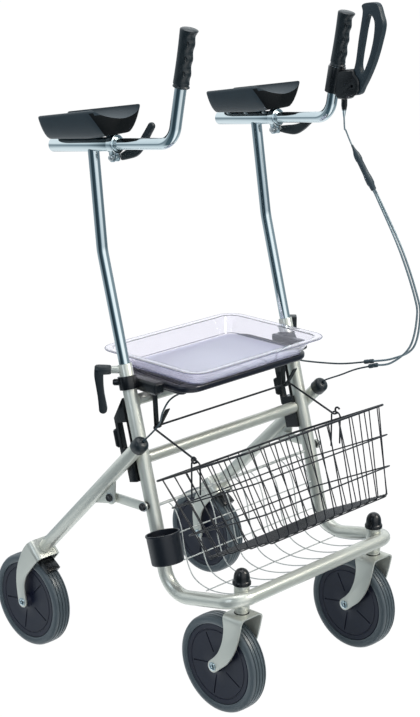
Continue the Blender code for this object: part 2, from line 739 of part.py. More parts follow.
def seat_panel():
    """A moulded seat board with a rolled front edge and two hooks below for the bail."""
    half_y = (SEAT_REAR_Y - SEAT_FRONT_Y) / 2
    centre = (0.0, (SEAT_REAR_Y + SEAT_FRONT_Y) / 2)
    outline = rounded_rectangle(SEAT_HALF_WIDTH, half_y, 0.014, 3, centre)
    seat = plate("seat_panel", outline, (0.0, 0.0, SEAT_TOP_Z - SEAT_THICKNESS), (1, 0, 0), (0, 1, 0),
                 SEAT_THICKNESS)
    bevel_edges(seat, 0.005)
    ribs = 4
    pocket_half = 0.072
    for row in range(ribs // 2):
        for column in range(2):
            x = (column - 0.5) * 0.166
            y = centre[1] + (row - 0.5) * (half_y + 0.004)
            pocket = rounded_rectangle(pocket_half, half_y / 2 - 0.014, 0.008, 2, (x, y))
            cut(seat, plate("pocket", pocket, (0.0, 0.0, SEAT_TOP_Z - SEAT_THICKNESS - 0.01), (1, 0, 0),
                            (0, 1, 0), SEAT_THICKNESS + 0.006))
    for side in (1, -1):
        line = hook_line()
        hook = ribbon(line, [HOOK_PLATE] * len(line), 3)
        join(seat, side_plate("hook", hook, side * HOOK_X - HOOK_WIDTH / 2, HOOK_WIDTH))
    return finish(seat, "black_plastic")


def tray(carrier):
    """A clear drafted tray with a thin wall and an outward lip, lifting off the seat."""
    floor_z = SEAT_TOP_Z + SEAT_GAP
    top_z = floor_z + TRAY_HEIGHT
    floor_half = (TRAY_HALF_WIDTH - TRAY_DRAFT, TRAY_DEPTH / 2 - TRAY_DRAFT)
    wall_half = (TRAY_HALF_WIDTH - TRAY_LIP, TRAY_DEPTH / 2 - TRAY_LIP)
    levels = ((floor_half, 0.0, floor_z), (wall_half, 0.0, top_z - TRAY_WALL),
              (wall_half, TRAY_LIP, top_z - TRAY_WALL), (wall_half, TRAY_LIP, top_z),
              (wall_half, -TRAY_WALL, top_z), (floor_half, -TRAY_WALL, floor_z + TRAY_WALL))
    bm = bmesh.new()
    rings = []
    for (half_x, half_y), grow, z in levels:
        outline = rounded_rectangle(half_x + grow, half_y + grow, 0.022 + grow, 3, (0.0, TRAY_CENTRE_Y))
        rings.append([bm.verts.new((x, y, z)) for x, y in outline])
    skin(bm, rings)
    bm.faces.new(rings[0])
    bm.faces.new(rings[-1])
    return finish(mesh_object("tray", bm), "clear_tray", carrier)


def dome_cap(side):
    """A hollow cap over the caster stem's nut."""
    top = CASTER_CAP_HEIGHT
    wide = CASTER_CAP_RADIUS
    profile = ((0.0, 0.0095), (0.0118, 0.0095), (0.0118, 0.0), (wide - 0.0025, 0.0), (wide, 0.002),
               (wide, 0.0068), (wide - 0.0020, 0.0095), (wide - 0.0024, 0.018), (wide - 0.0060, 0.0262),
               (wide - 0.0115, top - 0.0016), (0.0, top))
    seat = (side * STEM_HALF_SPACING, STEM_Y, HEAD_TUBE_TOP_Z + SEAT_GAP)
    return finish(turned("dome_cap_" + SIDE_NAMES[side], profile, seat, (0, 0, 1), TUBE_SIDES), "black_plastic")


def link_pin(side):
    """The bolt through a link's foot: shank in the upright, spacer, and a round cap outside."""
    out = LINK_INNER_X - FRAME_HALF_WIDTH - LINK_PIN_DEPTH
    spacer_in = TUBE_RADIUS - LINK_PIN_DEPTH + SEAT_GAP
    cap_in = out + LINK_PLATE + SEAT_GAP
    shank = LINK_PIN_RADIUS
    profile = ((0.0, 0.0), (shank, 0.0), (shank, spacer_in), (LINK_CAP_RADIUS, spacer_in),
               (LINK_CAP_RADIUS, out - SEAT_GAP), (shank, out - SEAT_GAP), (shank, cap_in),
               (LINK_CAP_RADIUS, cap_in), (LINK_CAP_RADIUS, cap_in + 0.004),
               (LINK_CAP_RADIUS - 0.0025, cap_in + 0.0062), (0.0, cap_in + 0.0066))
    start = upright(side, LINK_FOOT_Z) + Vector((side * LINK_PIN_DEPTH, 0.0, 0.0))
    return finish(turned("link_pin_" + SIDE_NAMES[side], profile, start, (side, 0, 0)), "black_plastic")


def post(side, carrier):
    """The chrome telescoping post, bent near its top and saddled under the sleeve."""
    name = "post_" + SIDE_NAMES[side]
    bend = upright(side, POST_BEND_Z)
    top = arm_point(side)
    path = rounded_path((upright(side, POST_BOTTOM_Z), bend, top), (POST_BEND,), radians(4.0))
    made = tube(name, path, POST_RADIUS, TUBE_SIDES, POST_RADIUS - POST_WALL)
    way = arm_axes(side)[0]
    cut(made, tube("saddle", (top - way * 0.05, top + way * 0.05), SLEEVE_RADIUS + SEAT_GAP))
    return finish(made, "chrome", carrier)


def arm_sleeve(side, carrier):
    """The sleeve on top of a post, with a clamp ring, lug and bolt at its front."""
    name = "arm_sleeve_" + SIDE_NAMES[side]
    sleeve = tube(name, (arm_point(side, -SLEEVE_REAR), arm_point(side, SLEEVE_FRONT)), SLEEVE_RADIUS)
    join(sleeve, tube("ring", (arm_point(side, CLAMP_FORWARD - 0.007), arm_point(side, CLAMP_FORWARD + 0.007)),
                      SLEEVE_RADIUS + 0.003))
    lug_way, lug_side, lug_up = arm_axes(side)
    lug = plate("lug", rounded_rectangle(0.0065, 0.0095, 0.003, 2),
                arm_point(side, CLAMP_FORWARD, 0.0085, -CLAMP_DROP + 0.002), lug_way, lug_up, 0.017)
    join(sleeve, lug)
    bolt = turned("bolt", ((0.0055, -0.0170), (0.0055, -0.0125), (CLAMP_BOLT_RADIUS, -0.0125),
                           (CLAMP_BOLT_RADIUS, CLAMP_LEVER_NEAR + CLAMP_LEVER_PLATE + 0.0015)),
                  arm_point(side, CLAMP_FORWARD, 0.0, -CLAMP_DROP), lug_side, 8)
    join(sleeve, bolt)
    cut(sleeve, tube("bore", (arm_point(side, -SLEEVE_REAR - 0.01), arm_point(side, SLEEVE_FRONT + 0.01)),
                     HANDLE_RADIUS + SEAT_GAP))
    return finish(sleeve, "chrome", carrier)


def arm_pad(side, carrier):
    """A moulded forearm trough, raked at both ends, resting on the sleeve."""
    stations = ((-0.1030, -0.0945, 0.0540), (-0.0900, -0.0800, 0.0556), (-0.0300, -0.0300, 0.0600),
                (0.0300, 0.0300, 0.0640), (0.0760, 0.0760, 0.0665), (0.0930, 0.0880, 0.0620),
                (0.0975, 0.0920, 0.0560))
    bm = bmesh.new()
    rings = []
    for forward_top, forward_low, top in stations:
        low = PAD_UNDERSIDE + max(0.0, (forward_low + 0.02) * 0.085)
        rings.append(pad_ring(bm, side, forward_top, forward_low, low, top))
    skin(bm, rings)
    bm.faces.new(rings[0])
    bm.faces.new(rings[-1])
    return finish(mesh_object("arm_pad_" + SIDE_NAMES[side], bm), "slate_rubber", carrier, 50.0)


def pad_ring(bm, side, forward_top, forward_low, low, top):
    """One cross section of the pad: outer shell below, forearm trough above."""
    wide = PAD_HALF_WIDTH
    outer = ((wide, top), (wide - 0.0010, top - 0.014), (wide - 0.0075, low + 0.011), (wide - 0.019, low))
    inner = [(wide - 0.0030, top + 0.0016), (wide - 0.0075, top - 0.0010)]
    for step in range(1, 4):
        turn = pi / 2 * step / 3
        inner.append(((wide - 0.0075) * cos(turn), top - 0.001 - (PAD_TROUGH - 0.001) * sin(turn)))
    half = list(reversed(outer)) + inner
    ring = [(a, b) for a, b in half] + [(-a, b) for a, b in reversed(half) if a > 1e-6]
    span = top - low
    verts = []
    for a, b in ring:
        share = (b - low) / span
        verts.append(bm.verts.new(arm_point(side, forward_low + (forward_top - forward_low) * share, a, b)))
    return verts


def post_lever(side, carrier):
    """The screw lever that clamps a post: screw, round hub and hanging arm."""
    name = "post_lever_" + SIDE_NAMES[side]
    centre = upright(side, CLAMP_SCREW_Z)
    way = diagonal(side)
    hub_in = CLAMP_BOSS_REACH + SEAT_GAP
    screw_in = POST_RADIUS + RUNNING_GAP * 3
    profile = ((0.0, screw_in), (CLAMP_SCREW_RADIUS, screw_in), (CLAMP_SCREW_RADIUS, hub_in),
               (0.0085, hub_in), (0.0100, hub_in + 0.003), (0.0100, LEVER_REACH - 0.003),
               (0.0080, LEVER_REACH), (0.0, LEVER_REACH))
    lever = turned(name, profile, centre, way)
    level = Vector((-way.y, way.x, 0.0))
    arm = ribbon(((0.0, 0.0), (0.0, -0.030), (0.002, -0.060), (0.004, -LEVER_LENGTH)),
                 (0.0165, 0.0150, 0.0155, 0.0175))
    origin = centre + way * (LEVER_REACH - 0.016)
    blade = plate("blade", arm, origin, level, (0, 0, 1), 0.0125)
    bevel_edges(blade, 0.0022)
    join(lever, blade)
    return finish(lever, "slate_rubber", carrier)


def quick_lever(side, carrier):
    """The quick-release lever on a sleeve's clamp bolt."""
    way, beside, above = arm_axes(side)
    turn = LEVER_TURNS[side]
    along = way * cos(turn) + above * sin(turn)
    square = above * cos(turn) - way * sin(turn)
    line = ((-0.008, 0.0), (0.010, 0.0), (0.040, 0.002), (0.075, 0.003), (QUICK_LEVER_LENGTH, 0.0))
    outline = ribbon(line, (0.011, 0.014, 0.0155, 0.0165, 0.0150))
    origin = arm_point(side, CLAMP_FORWARD, CLAMP_LEVER_NEAR + CLAMP_LEVER_PLATE, -CLAMP_DROP)
    lever = plate("quick_lever_" + SIDE_NAMES[side], outline, origin, along, square, CLAMP_LEVER_PLATE)
    bevel_edges(lever, 0.0016)
    eye = arm_point(side, CLAMP_FORWARD, 0.0, -CLAMP_DROP)
    cut(lever, turned("eye", ((CLAMP_BOLT_RADIUS + SEAT_GAP, 0.0), (CLAMP_BOLT_RADIUS + SEAT_GAP, 0.05)),
                      eye, beside, 8))
    return finish(lever, "slate_rubber", carrier)


def handle_tube(side, carrier):
    """The bent handle tube: tail in the sleeve, bend, and the leaning upper part."""
    corner = handle_corner(side)
    path = rounded_path((arm_point(side, -HANDLE_REAR), corner, corner + handle_up(side) * HANDLE_HEIGHT),
                        (HANDLE_BEND,))
    return finish(tube("handle_tube_" + SIDE_NAMES[side], path, HANDLE_RADIUS), "chrome", carrier)


def grip(side, carrier):
    """A rubber grip with finger grooves on its front, closed over the tube's end."""
    up = handle_up(side)
    first, second = square_axes(up)
    front = up.cross(first)
    if front.y > 0:
        front = -front
    end = HANDLE_HEIGHT + SEAT_GAP + 0.0035
    start = end - GRIP_LENGTH
    rings = 12
    bm = bmesh.new()
    skins = []
    for index in range(rings + 1):
        share = index / rings
        reach = start + GRIP_LENGTH * share
        place = handle_corner(side) + up * reach
        body = GRIP_RADIUS - 0.0010 * sin(pi * share)
        if index in (0, rings):
            body -= 0.0012
        wave = 0.0012 - 0.0024 * (0.5 + 0.5 * cos(2 * pi * GRIP_GROOVES * share))
        lip = 0.0035 * max(0.0, share * 8 - 7)
        ring = []
        for point in ring_points(Vector(), first, second, 1.0, TUBE_SIDES):
            ahead = max(0.0, point.dot(front)) ** 2
            ring.append(bm.verts.new(place + point * (body - (wave - lip) * ahead)))
        skins.append(ring)
    skin(bm, skins)
    bm.faces.new(skins[0])
    bm.faces.new(skins[-1])
    made = mesh_object("grip_" + SIDE_NAMES[side], bm)
    low = handle_corner(side) + up * (start - 0.01)
    high = handle_corner(side) + up * (HANDLE_HEIGHT + SEAT_GAP)
    cut(made, tube("bore", (low, high), HANDLE_RADIUS + SEAT_GAP))
    return finish(made, "slate_rubber", carrier, 50.0)


def brake_housing(carrier):
    """The brake lever's housing, clamped round the left handle tube below the grip."""
    up = handle_up(1)
    low = brake_base() + up * HOUSING_LOW
    high = brake_base() + up * HOUSING_HIGH
    body = tube("brake_housing", (low, high), HANDLE_RADIUS + 0.0065)
    middle = handle_x(1)
    outline = ((0.018, 0.062), (0.021, 0.0515), (0.027, 0.040), (0.050, 0.040), (0.0573, 0.0471),
               (0.074, 0.0504), (0.0826, 0.0619), (0.0816, 0.080), (0.070, 0.092), (0.068, 0.100),
               (0.040, 0.0975), (0.030, 0.0950))
    cheeks = side_plate("cheeks", from_base(outline), middle - HOUSING_HALF_WIDTH,
                        HOUSING_HALF_WIDTH * 2)
    bevel_edges(cheeks, 0.003)
    join(body, cheeks)
    ferrule = Vector((middle, *from_base(((FERRULE_FORWARD, FERRULE_UP),))[0]))
    join(body, turned("ferrule", ((0.0045, -0.016), (0.0060, -0.006), (0.0060, 0.010)), ferrule,
                      (0, 0, 1), 10))
    slot_half = BRAKE_LEVER_HALF_WIDTH + SEAT_GAP
    slot = ((0.0541, 0.0439), (0.0981, 0.0359), (0.0981, 0.1159), (0.0541, 0.1159))
    cut(body, side_plate("slot", from_base(slot), middle - slot_half, slot_half * 2))
    cut(body, cross_pin("pin_way", brake_pivot(), 0.03, BRAKE_PIN_RADIUS + SEAT_GAP, 8))
    cut(body, tube("tube_way", (low - up * 0.02, high + up * 0.02), HANDLE_RADIUS + SEAT_GAP))
    return finish(body, "black_plastic", carrier)


def brake_lever(carrier):
    """A closed loop lever in front of the left grip, pivoting in the housing's cheeks."""
    middle = handle_x(1)
    outer = ((0.0816, 0.0539), (0.0895, 0.0676), (0.1013, 0.0879), (0.1153, 0.1178), (0.1265, 0.1510),
             (0.1351, 0.1874), (0.1296, 0.2077), (0.1191, 0.2284), (0.0971, 0.2294), (0.0821, 0.2239),
             (0.0843, 0.2109), (0.0806, 0.1856), (0.0756, 0.1568), (0.0701, 0.1174), (0.0641, 0.0959),
             (0.0566, 0.0759), (0.0581, 0.0609), (0.0691, 0.0519))
    window = ((0.1002, 0.2077), (0.1128, 0.1972), (0.1136, 0.1728), (0.1072, 0.1401), (0.0957, 0.1086),
              (0.0862, 0.0943), (0.0796, 0.1071), (0.0816, 0.1284), (0.0869, 0.1575), (0.0926, 0.1865))
    half = BRAKE_LEVER_HALF_WIDTH
    lever = side_plate("brake_lever", from_base(outer), middle - half, half * 2)
    cut(lever, side_plate("window", from_base(window), middle - half * 2, half * 4))
    bevel_edges(lever, 0.0018)
    join(lever, cross_pin("pin", brake_pivot(), HOUSING_HALF_WIDTH - 0.0005, BRAKE_PIN_RADIUS, 8))
    return finish(lever, "slate_rubber", carrier)


def handle_x(side):
    """How far out a handle's upper part stands."""
    return handle_corner(side).x


def brake_base():
    """The point on the left handle tube that the brake's places are measured from."""
    return handle_corner(1) + handle_up(1) * (HANDLE_HEIGHT - BRAKE_BASE_DROP)


def from_base(points):
    """Brake points, given forwards and up from the brake's base point, as (y, z)."""
    base = brake_base()
    return [(base.y - forward, base.z + up) for forward, up in points]


def brake_pivot():
    y, z = from_base(((BRAKE_PIVOT_FORWARD, BRAKE_PIVOT_UP),))[0]
    return Vector((handle_x(1), y, z))


def upright_plate(name, side, outline, near, far):
    """A flat piece in an upright's own plane: outline points are (back, up) from the carriage."""
    x_low, width = between(side, near, far)
    origin = upright(side, CARRIAGE_Z)
    origin.x = x_low
    return plate(name, outline, origin, UPRIGHT_BACK, UPRIGHT_UP, width)


def along_upright(height):
    """A height above the floor as a distance up an upright from the carriage."""
    return (height - CARRIAGE_Z) / cos(UPRIGHT_LEAN)


def carriage_bar(carrier):
    """The cross tube between the two sliding blocks."""
    middle = (0.0, upright(1, CARRIAGE_Z).y + CARRIAGE_BACK, CARRIAGE_Z)
    bar = cross_pin("carriage_bar", middle, CARRIAGE_HALF_LENGTH, CARRIAGE_RADIUS, TUBE_SIDES)
    return finish(bar, "champagne_tube", carrier)


def slide_block(side, carrier):
    """The moulded block that slides on an upright and carries the leg's pin, strip and catch."""
    name = "slide_block_" + SIDE_NAMES[side]
    inner = CARRIAGE_HALF_LENGTH + SEAT_GAP
    tube_in = FRAME_HALF_WIDTH - TUBE_RADIUS - SEAT_GAP
    outer = FRAME_HALF_WIDTH + TUBE_RADIUS + 0.0008
    back = TUBE_RADIUS + SEAT_GAP
    deep = 0.036
    plan = ((inner, -0.012), (tube_in, -0.012), (tube_in, back), (outer, back), (outer, deep), (inner, deep))
    outline = [(side * (x - FRAME_HALF_WIDTH), n) for x, n in plan]
    made = plate(name, outline, upright(side, BLOCK_LOW_Z), (1, 0, 0), UPRIGHT_BACK,
                 along_upright(BLOCK_HIGH_Z) - along_upright(BLOCK_LOW_Z))
    strip_in = FRAME_HALF_WIDTH - STRIP_HALF_WIDTH
    strip_out = FRAME_HALF_WIDTH + STRIP_HALF_WIDTH
    top = along_upright(STRIP_HIGH_Z)
    strip_front = back + 0.0042
    strip = ((strip_front, 0.0), (strip_front + 0.0035, 0.0), (strip_front + 0.0035, top),
             (strip_front, top))
    join(made, upright_plate("strip", side, strip, strip_in, strip_out))
    arm_front = 0.045
    arm_back = 0.053
    corner = 0.088
    tie = 0.078
    catch = ((strip_front + 0.0005, top - 0.0005), (arm_back, corner), (arm_back, 0.008), (0.034, 0.008),
             (0.034, 0.022), (arm_front, 0.026), (arm_front, tie), (strip_front + 0.0005, tie))
    join(made, upright_plate("catch", side, catch, strip_in + 0.001, strip_out + 0.003))
    pad = upright_plate("bumper", side, ((arm_back - 0.001, 0.027), (arm_back + 0.0095, 0.030),
                                         (arm_back + 0.0095, 0.064), (arm_back - 0.001, 0.067)),
                        strip_in - 0.003, strip_out + 0.006)
    join(made, bevel_edges(pad, 0.003))
    pin_in, pin_length = between(side, outer - 0.004, REAR_HALF_TRACK + TUBE_RADIUS * 0.45)
    pivot = leg_point(side, LEG_PIVOT_UP)
    pin_middle = Vector((pin_in + pin_length / 2, pivot.y, pivot.z))
    join(made, cross_pin("pin", pin_middle, pin_length / 2, LEG_PIN_RADIUS))
    return finish(made, "black_plastic", carrier)


def rear_leg(side, carrier):
    """A straight leg tube with a gusset for the link below it."""
    name = "rear_leg_" + SIDE_NAMES[side]
    leg = tube(name, (leg_point(side, SEAT_GAP), leg_point(side, LEG_LENGTH)), TUBE_RADIUS)
    pin = (GUSSET_UP, GUSSET_OFF)
    outline = ([(GUSSET_UP - 0.058, 0.007)] + arc(pin, 0.014, radians(155), radians(25), 6)
               + [(GUSSET_UP + 0.044, 0.007)])
    x_low, width = between(side, GUSSET_INNER_X, GUSSET_INNER_X + GUSSET_PLATE)
    origin = leg_point(side)
    origin.x = x_low
    join(leg, plate("gusset", outline, origin, -LEG_DOWN, LEG_UNDER, width))
    eye = leg_point(side, GUSSET_UP, GUSSET_OFF)
    eye.x = side * (GUSSET_INNER_X + GUSSET_PLATE - 0.001)
    cap = ((LINK_CAP_RADIUS, 0.0), (LINK_CAP_RADIUS, 0.0045), (LINK_CAP_RADIUS - 0.0025, 0.0068))
    join(leg, turned("cap", cap, eye, (side, 0, 0)))
    pivot = leg_point(side, LEG_PIVOT_UP)
    x_low, width = between(side, REAR_HALF_TRACK - TUBE_RADIUS - 0.005,
                           REAR_HALF_TRACK + TUBE_RADIUS * 0.45 + SEAT_GAP)
    cut(leg, cross_pin("pin_way", (x_low + width / 2, pivot.y, pivot.z), width / 2,
                       LEG_PIN_RADIUS + SEAT_GAP))
    return finish(leg, "champagne_tube", carrier)


def leg_cap(side, carrier):
    """The ball-shaped plastic cap on a leg's upper end, where a brake cable goes in."""
    skirt = 0.014
    ball = LEG_CAP_RADIUS
    profile = [(TUBE_RADIUS + SEAT_GAP, -skirt), (ball - 0.0006, -skirt), (ball, -skirt + 0.005)]
    for step in range(4):
        turn = pi / 2 * step / 4
        profile.append((ball * cos(turn), 0.001 + ball * sin(turn) * 0.85))
    profile.append((0.0, 0.001 + ball * 0.85))
    profile = [(0.0, SEAT_GAP), (TUBE_RADIUS + SEAT_GAP, SEAT_GAP)] + profile
    cap = turned("leg_cap_" + SIDE_NAMES[side], profile, leg_point(side, LEG_LENGTH), -LEG_DOWN, TUBE_SIDES)
    return finish(cap, "black_plastic", carrier)


def link(side, carrier):
    """A flat bar from the upright's pin to beside the leg's gusset; its gusset end is free."""
    name = "link_" + SIDE_NAMES[side]
    foot = upright(side, LINK_FOOT_Z)
    eye = leg_point(side, GUSSET_UP, GUSSET_OFF)
    x_low, width = between(side, LINK_INNER_X, LINK_INNER_X + LINK_PLATE)
    bar = side_plate(name, stadium((foot.y, foot.z), (eye.y, eye.z), LINK_HALF_WIDTH), x_low, width)
    spacer = Vector((side * (LINK_INNER_X + LINK_PLATE - 0.001), eye.y, eye.z))
    spacer_height = 0.001 + LINK_GUSSET_GAP - RUNNING_GAP
    join(bar, turned("spacer", ((LINK_CAP_RADIUS, 0.0), (LINK_CAP_RADIUS, spacer_height)), spacer,
                     (side, 0, 0)))
    for place in (foot, eye):
        cut(bar, cross_pin("eye", (side * (LINK_INNER_X + LINK_PLATE / 2), place.y, place.z), 0.02,
                           LINK_PIN_RADIUS + SEAT_GAP))
    return finish(bar, "champagne_tube", carrier)


def fork(name, middle, crown, centre_line, widths):
    """A fork of two curved arms joined to a crown plate, bored for its axle."""
    join(crown, *[side_plate("arm", ribbon(centre_line, widths), middle + offset, FORK_PLATE)
                  for offset in (FORK_HALF_GAP, -FORK_HALF_GAP - FORK_PLATE)])
    axle = Vector((middle, *centre_line[-1]))
    cut(crown, cross_pin("axle_way", axle, 0.05, AXLE_RADIUS + SEAT_GAP))
    crown.name = name
    return crown


def rear_fork(side, carrier):
    """The rear fork: its crown stands square to the leg, its arms curve down to the axle."""
    name = "rear_fork_" + SIDE_NAMES[side]
    middle = side * REAR_HALF_TRACK
    outline = rounded_rectangle(FORK_HALF_GAP + FORK_PLATE, 0.022, 0.0045, 2)
    crown = plate(name, outline, leg_point(side), (1, 0, 0), LEG_UNDER, FORK_PLATE)
    top = leg_point(side, -0.0015)
    centre_line = ((top.y, top.z), (top.y + 0.0235, top.z - 0.0275), (top.y + 0.0405, top.z - 0.0565),
                   (AXLE_REAR_Y + 0.0045, WHEEL_RADIUS + 0.044), (AXLE_REAR_Y + 0.0035, WHEEL_RADIUS + 0.020),
                   (AXLE_REAR_Y, WHEEL_RADIUS))
    made = fork(name, middle, crown, centre_line, (0.042, 0.041, 0.032, 0.0255, 0.024, 0.025))
    y, z = shoe_pivot()
    cut(made, cross_pin("shoe_way", (middle, y, z), 0.05, BRAKE_PIN_RADIUS + SEAT_GAP, 8))
    return finish(made, "champagne_tube", carrier)


def front_fork(side, carrier):
    """A caster fork with its stem, collar and nut."""
    name = "front_fork_" + SIDE_NAMES[side]
    middle = side * STEM_HALF_SPACING
    outline = rounded_rectangle(FORK_HALF_GAP + FORK_PLATE, FORK_CROWN_DEPTH / 2, 0.010, 3,
                                (middle, STEM_Y - 0.0025))
    crown = plate(name, outline, (0.0, 0.0, CROWN_TOP_Z - FORK_PLATE), (1, 0, 0), (0, 1, 0), FORK_PLATE)
    top_z = CROWN_TOP_Z - 0.0015
    centre_line = ((STEM_Y - 0.0025, top_z), (STEM_Y - 0.0005, top_z - 0.034), (STEM_Y + 0.0065, top_z - 0.064),
                   (AXLE_FRONT_Y - 0.028, WHEEL_RADIUS + 0.0285), (AXLE_FRONT_Y - 0.0135, WHEEL_RADIUS + 0.0125),
                   (AXLE_FRONT_Y, WHEEL_RADIUS))
    made = fork(name, middle, crown, centre_line, (0.044, 0.040, 0.035, 0.030, 0.026, 0.025))
    nut_z = HEAD_TUBE_TOP_Z + RUNNING_GAP
    collar_top = HEAD_TUBE_BOTTOM_Z - RUNNING_GAP
    stem = ((0.0130, CROWN_TOP_Z - 0.001), (0.0130, collar_top), (STEM_RADIUS, collar_top),
            (STEM_RADIUS, nut_z), (0.0095, nut_z), (0.0095, nut_z + 0.006), (0.0, nut_z + 0.006))
    join(made, turned("stem", stem, (middle, STEM_Y, 0.0), (0, 0, 1)))
    return finish(made, "champagne_tube", carrier)


def wheel_pieces(end, side, carrier, fixed, centre):
    """A wheel's tyre and hub on its spin axis, and the axle fixed in the fork."""
    label = end + "_" + SIDE_NAMES[side]
    across = Vector((side, 0.0, 0.0))
    half = TYRE_WIDTH / 2
    seat = HUB_RADIUS + SEAT_GAP
    tread = WHEEL_RADIUS / cos(pi / WHEEL_SIDES)
    half_profile = [(seat, half - 0.0035), (HUB_RADIUS + 0.005, half), (tread - 0.0070, half),
                    (tread - 0.0012, half - 0.0050), (tread, half - 0.0110)]
    profile = half_profile + [(radius, -reach) for radius, reach in reversed(half_profile)]
    finish(turned("tyre_" + label, profile, centre, across, WHEEL_SIDES, closed=True), "grey_tyre", carrier)
    bore = AXLE_RADIUS + SEAT_GAP
    face = HUB_WIDTH / 2
    boss = HUB_BOSS_WIDTH / 2
    half_profile = [(bore, boss), (HUB_BOSS_RADIUS, boss), (HUB_BOSS_RADIUS + 0.002, face - 0.003),
                    (HUB_RADIUS - 0.010, face), (HUB_RADIUS, face - 0.0015)]
    profile = half_profile + [(radius, -reach) for radius, reach in reversed(half_profile)]
    hub = turned("hub_" + label, profile, centre, across, WHEEL_SIDES, closed=True)
    grooves = bmesh.new()
    for spoke in range(HUB_SPOKE_GROOVES):
        turn = Matrix.Rotation(2 * pi * spoke / HUB_SPOKE_GROOVES + 0.3, 4, "X")
        for sign in (1, -1):
            corners = bmesh.ops.create_cube(grooves, size=1.0)["verts"]
            shape = (Matrix.Translation(centre) @ turn @ Matrix.Translation((sign * face, 0.0, 0.046))
                     @ Matrix.Diagonal((0.005, 0.0032, 0.044, 1.0)))
            bmesh.ops.transform(grooves, matrix=shape, verts=corners)
    cut(hub, mesh_object("grooves", grooves))
    finish(hub, "navy_hub", carrier)
    reach = FORK_HALF_GAP + FORK_PLATE + SEAT_GAP
    profile = ((0.0, -reach - AXLE_HEAD_HEIGHT), (AXLE_HEAD_RADIUS, -reach - AXLE_HEAD_HEIGHT),
               (AXLE_HEAD_RADIUS, -reach), (AXLE_RADIUS, -reach), (AXLE_RADIUS, reach),
               (AXLE_HEAD_RADIUS, reach), (AXLE_HEAD_RADIUS, reach + AXLE_HEAD_HEIGHT),
               (0.0, reach + AXLE_HEAD_HEIGHT))
    finish(turned("axle_" + label, profile, centre, across, 8), "steel", fixed)


def shoe_pivot():
    """Where a brake shoe hangs between the rear fork's arms, as (y, z)."""
    return (AXLE_REAR_Y + SHOE_PIVOT_RADIUS * cos(SHOE_PIVOT_ANGLE),
            WHEEL_RADIUS + SHOE_PIVOT_RADIUS * sin(SHOE_PIVOT_ANGLE))


def brake_shoe(side, carrier):
    """A curved block just off the rear tyre, hung from a pin between the fork's arms."""
    name = "brake_shoe_" + SIDE_NAMES[side]
    middle = side * REAR_HALF_TRACK
    centre = (AXLE_REAR_Y, WHEEL_RADIUS)
    near = WHEEL_RADIUS + SHOE_GAP
    outline = (arc(centre, near, SHOE_START, SHOE_END, 3)
               + arc(centre, near + 0.0105, SHOE_END, SHOE_START, 3))
    shoe = side_plate(name, outline, middle - SHOE_HALF_WIDTH, SHOE_HALF_WIDTH * 2)
    y, z = shoe_pivot()
    join(shoe, cross_pin("barrel", (middle, y, z), FORK_HALF_GAP - RUNNING_GAP, 0.0055))
    join(shoe, cross_pin("pin", (middle, y, z), FORK_HALF_GAP + FORK_PLATE - 0.0005, BRAKE_PIN_RADIUS, 8))
    return finish(shoe, "black_plastic", carrier)


def basket_point(x, forward, height):
    """A point in the basket's tilted frame: forwards from its rear rim and up from the rim."""
    return Vector((x, BASKET_REAR_Y - forward * cos(BASKET_TILT) + height * sin(BASKET_TILT),
                   BASKET_REAR_Z + forward * sin(BASKET_TILT) + height * cos(BASKET_TILT)))


def basket_ring(height, outset):
    """A rounded ring round the basket at a height, as path points and the corners' indices."""
    share = -height / BASKET_HEIGHT
    half_forward = (BASKET_TOP + (BASKET_BOTTOM - BASKET_TOP) * share) / 2 + outset
    half_x = BASKET_HALF_WIDTH + (BASKET_FLOOR_HALF_WIDTH - BASKET_HALF_WIDTH) * share + outset
    outline = rounded_rectangle(half_forward, half_x, 0.020, 2)
    return [basket_point(x, BASKET_TOP / 2 + forward, height) for forward, x in outline]


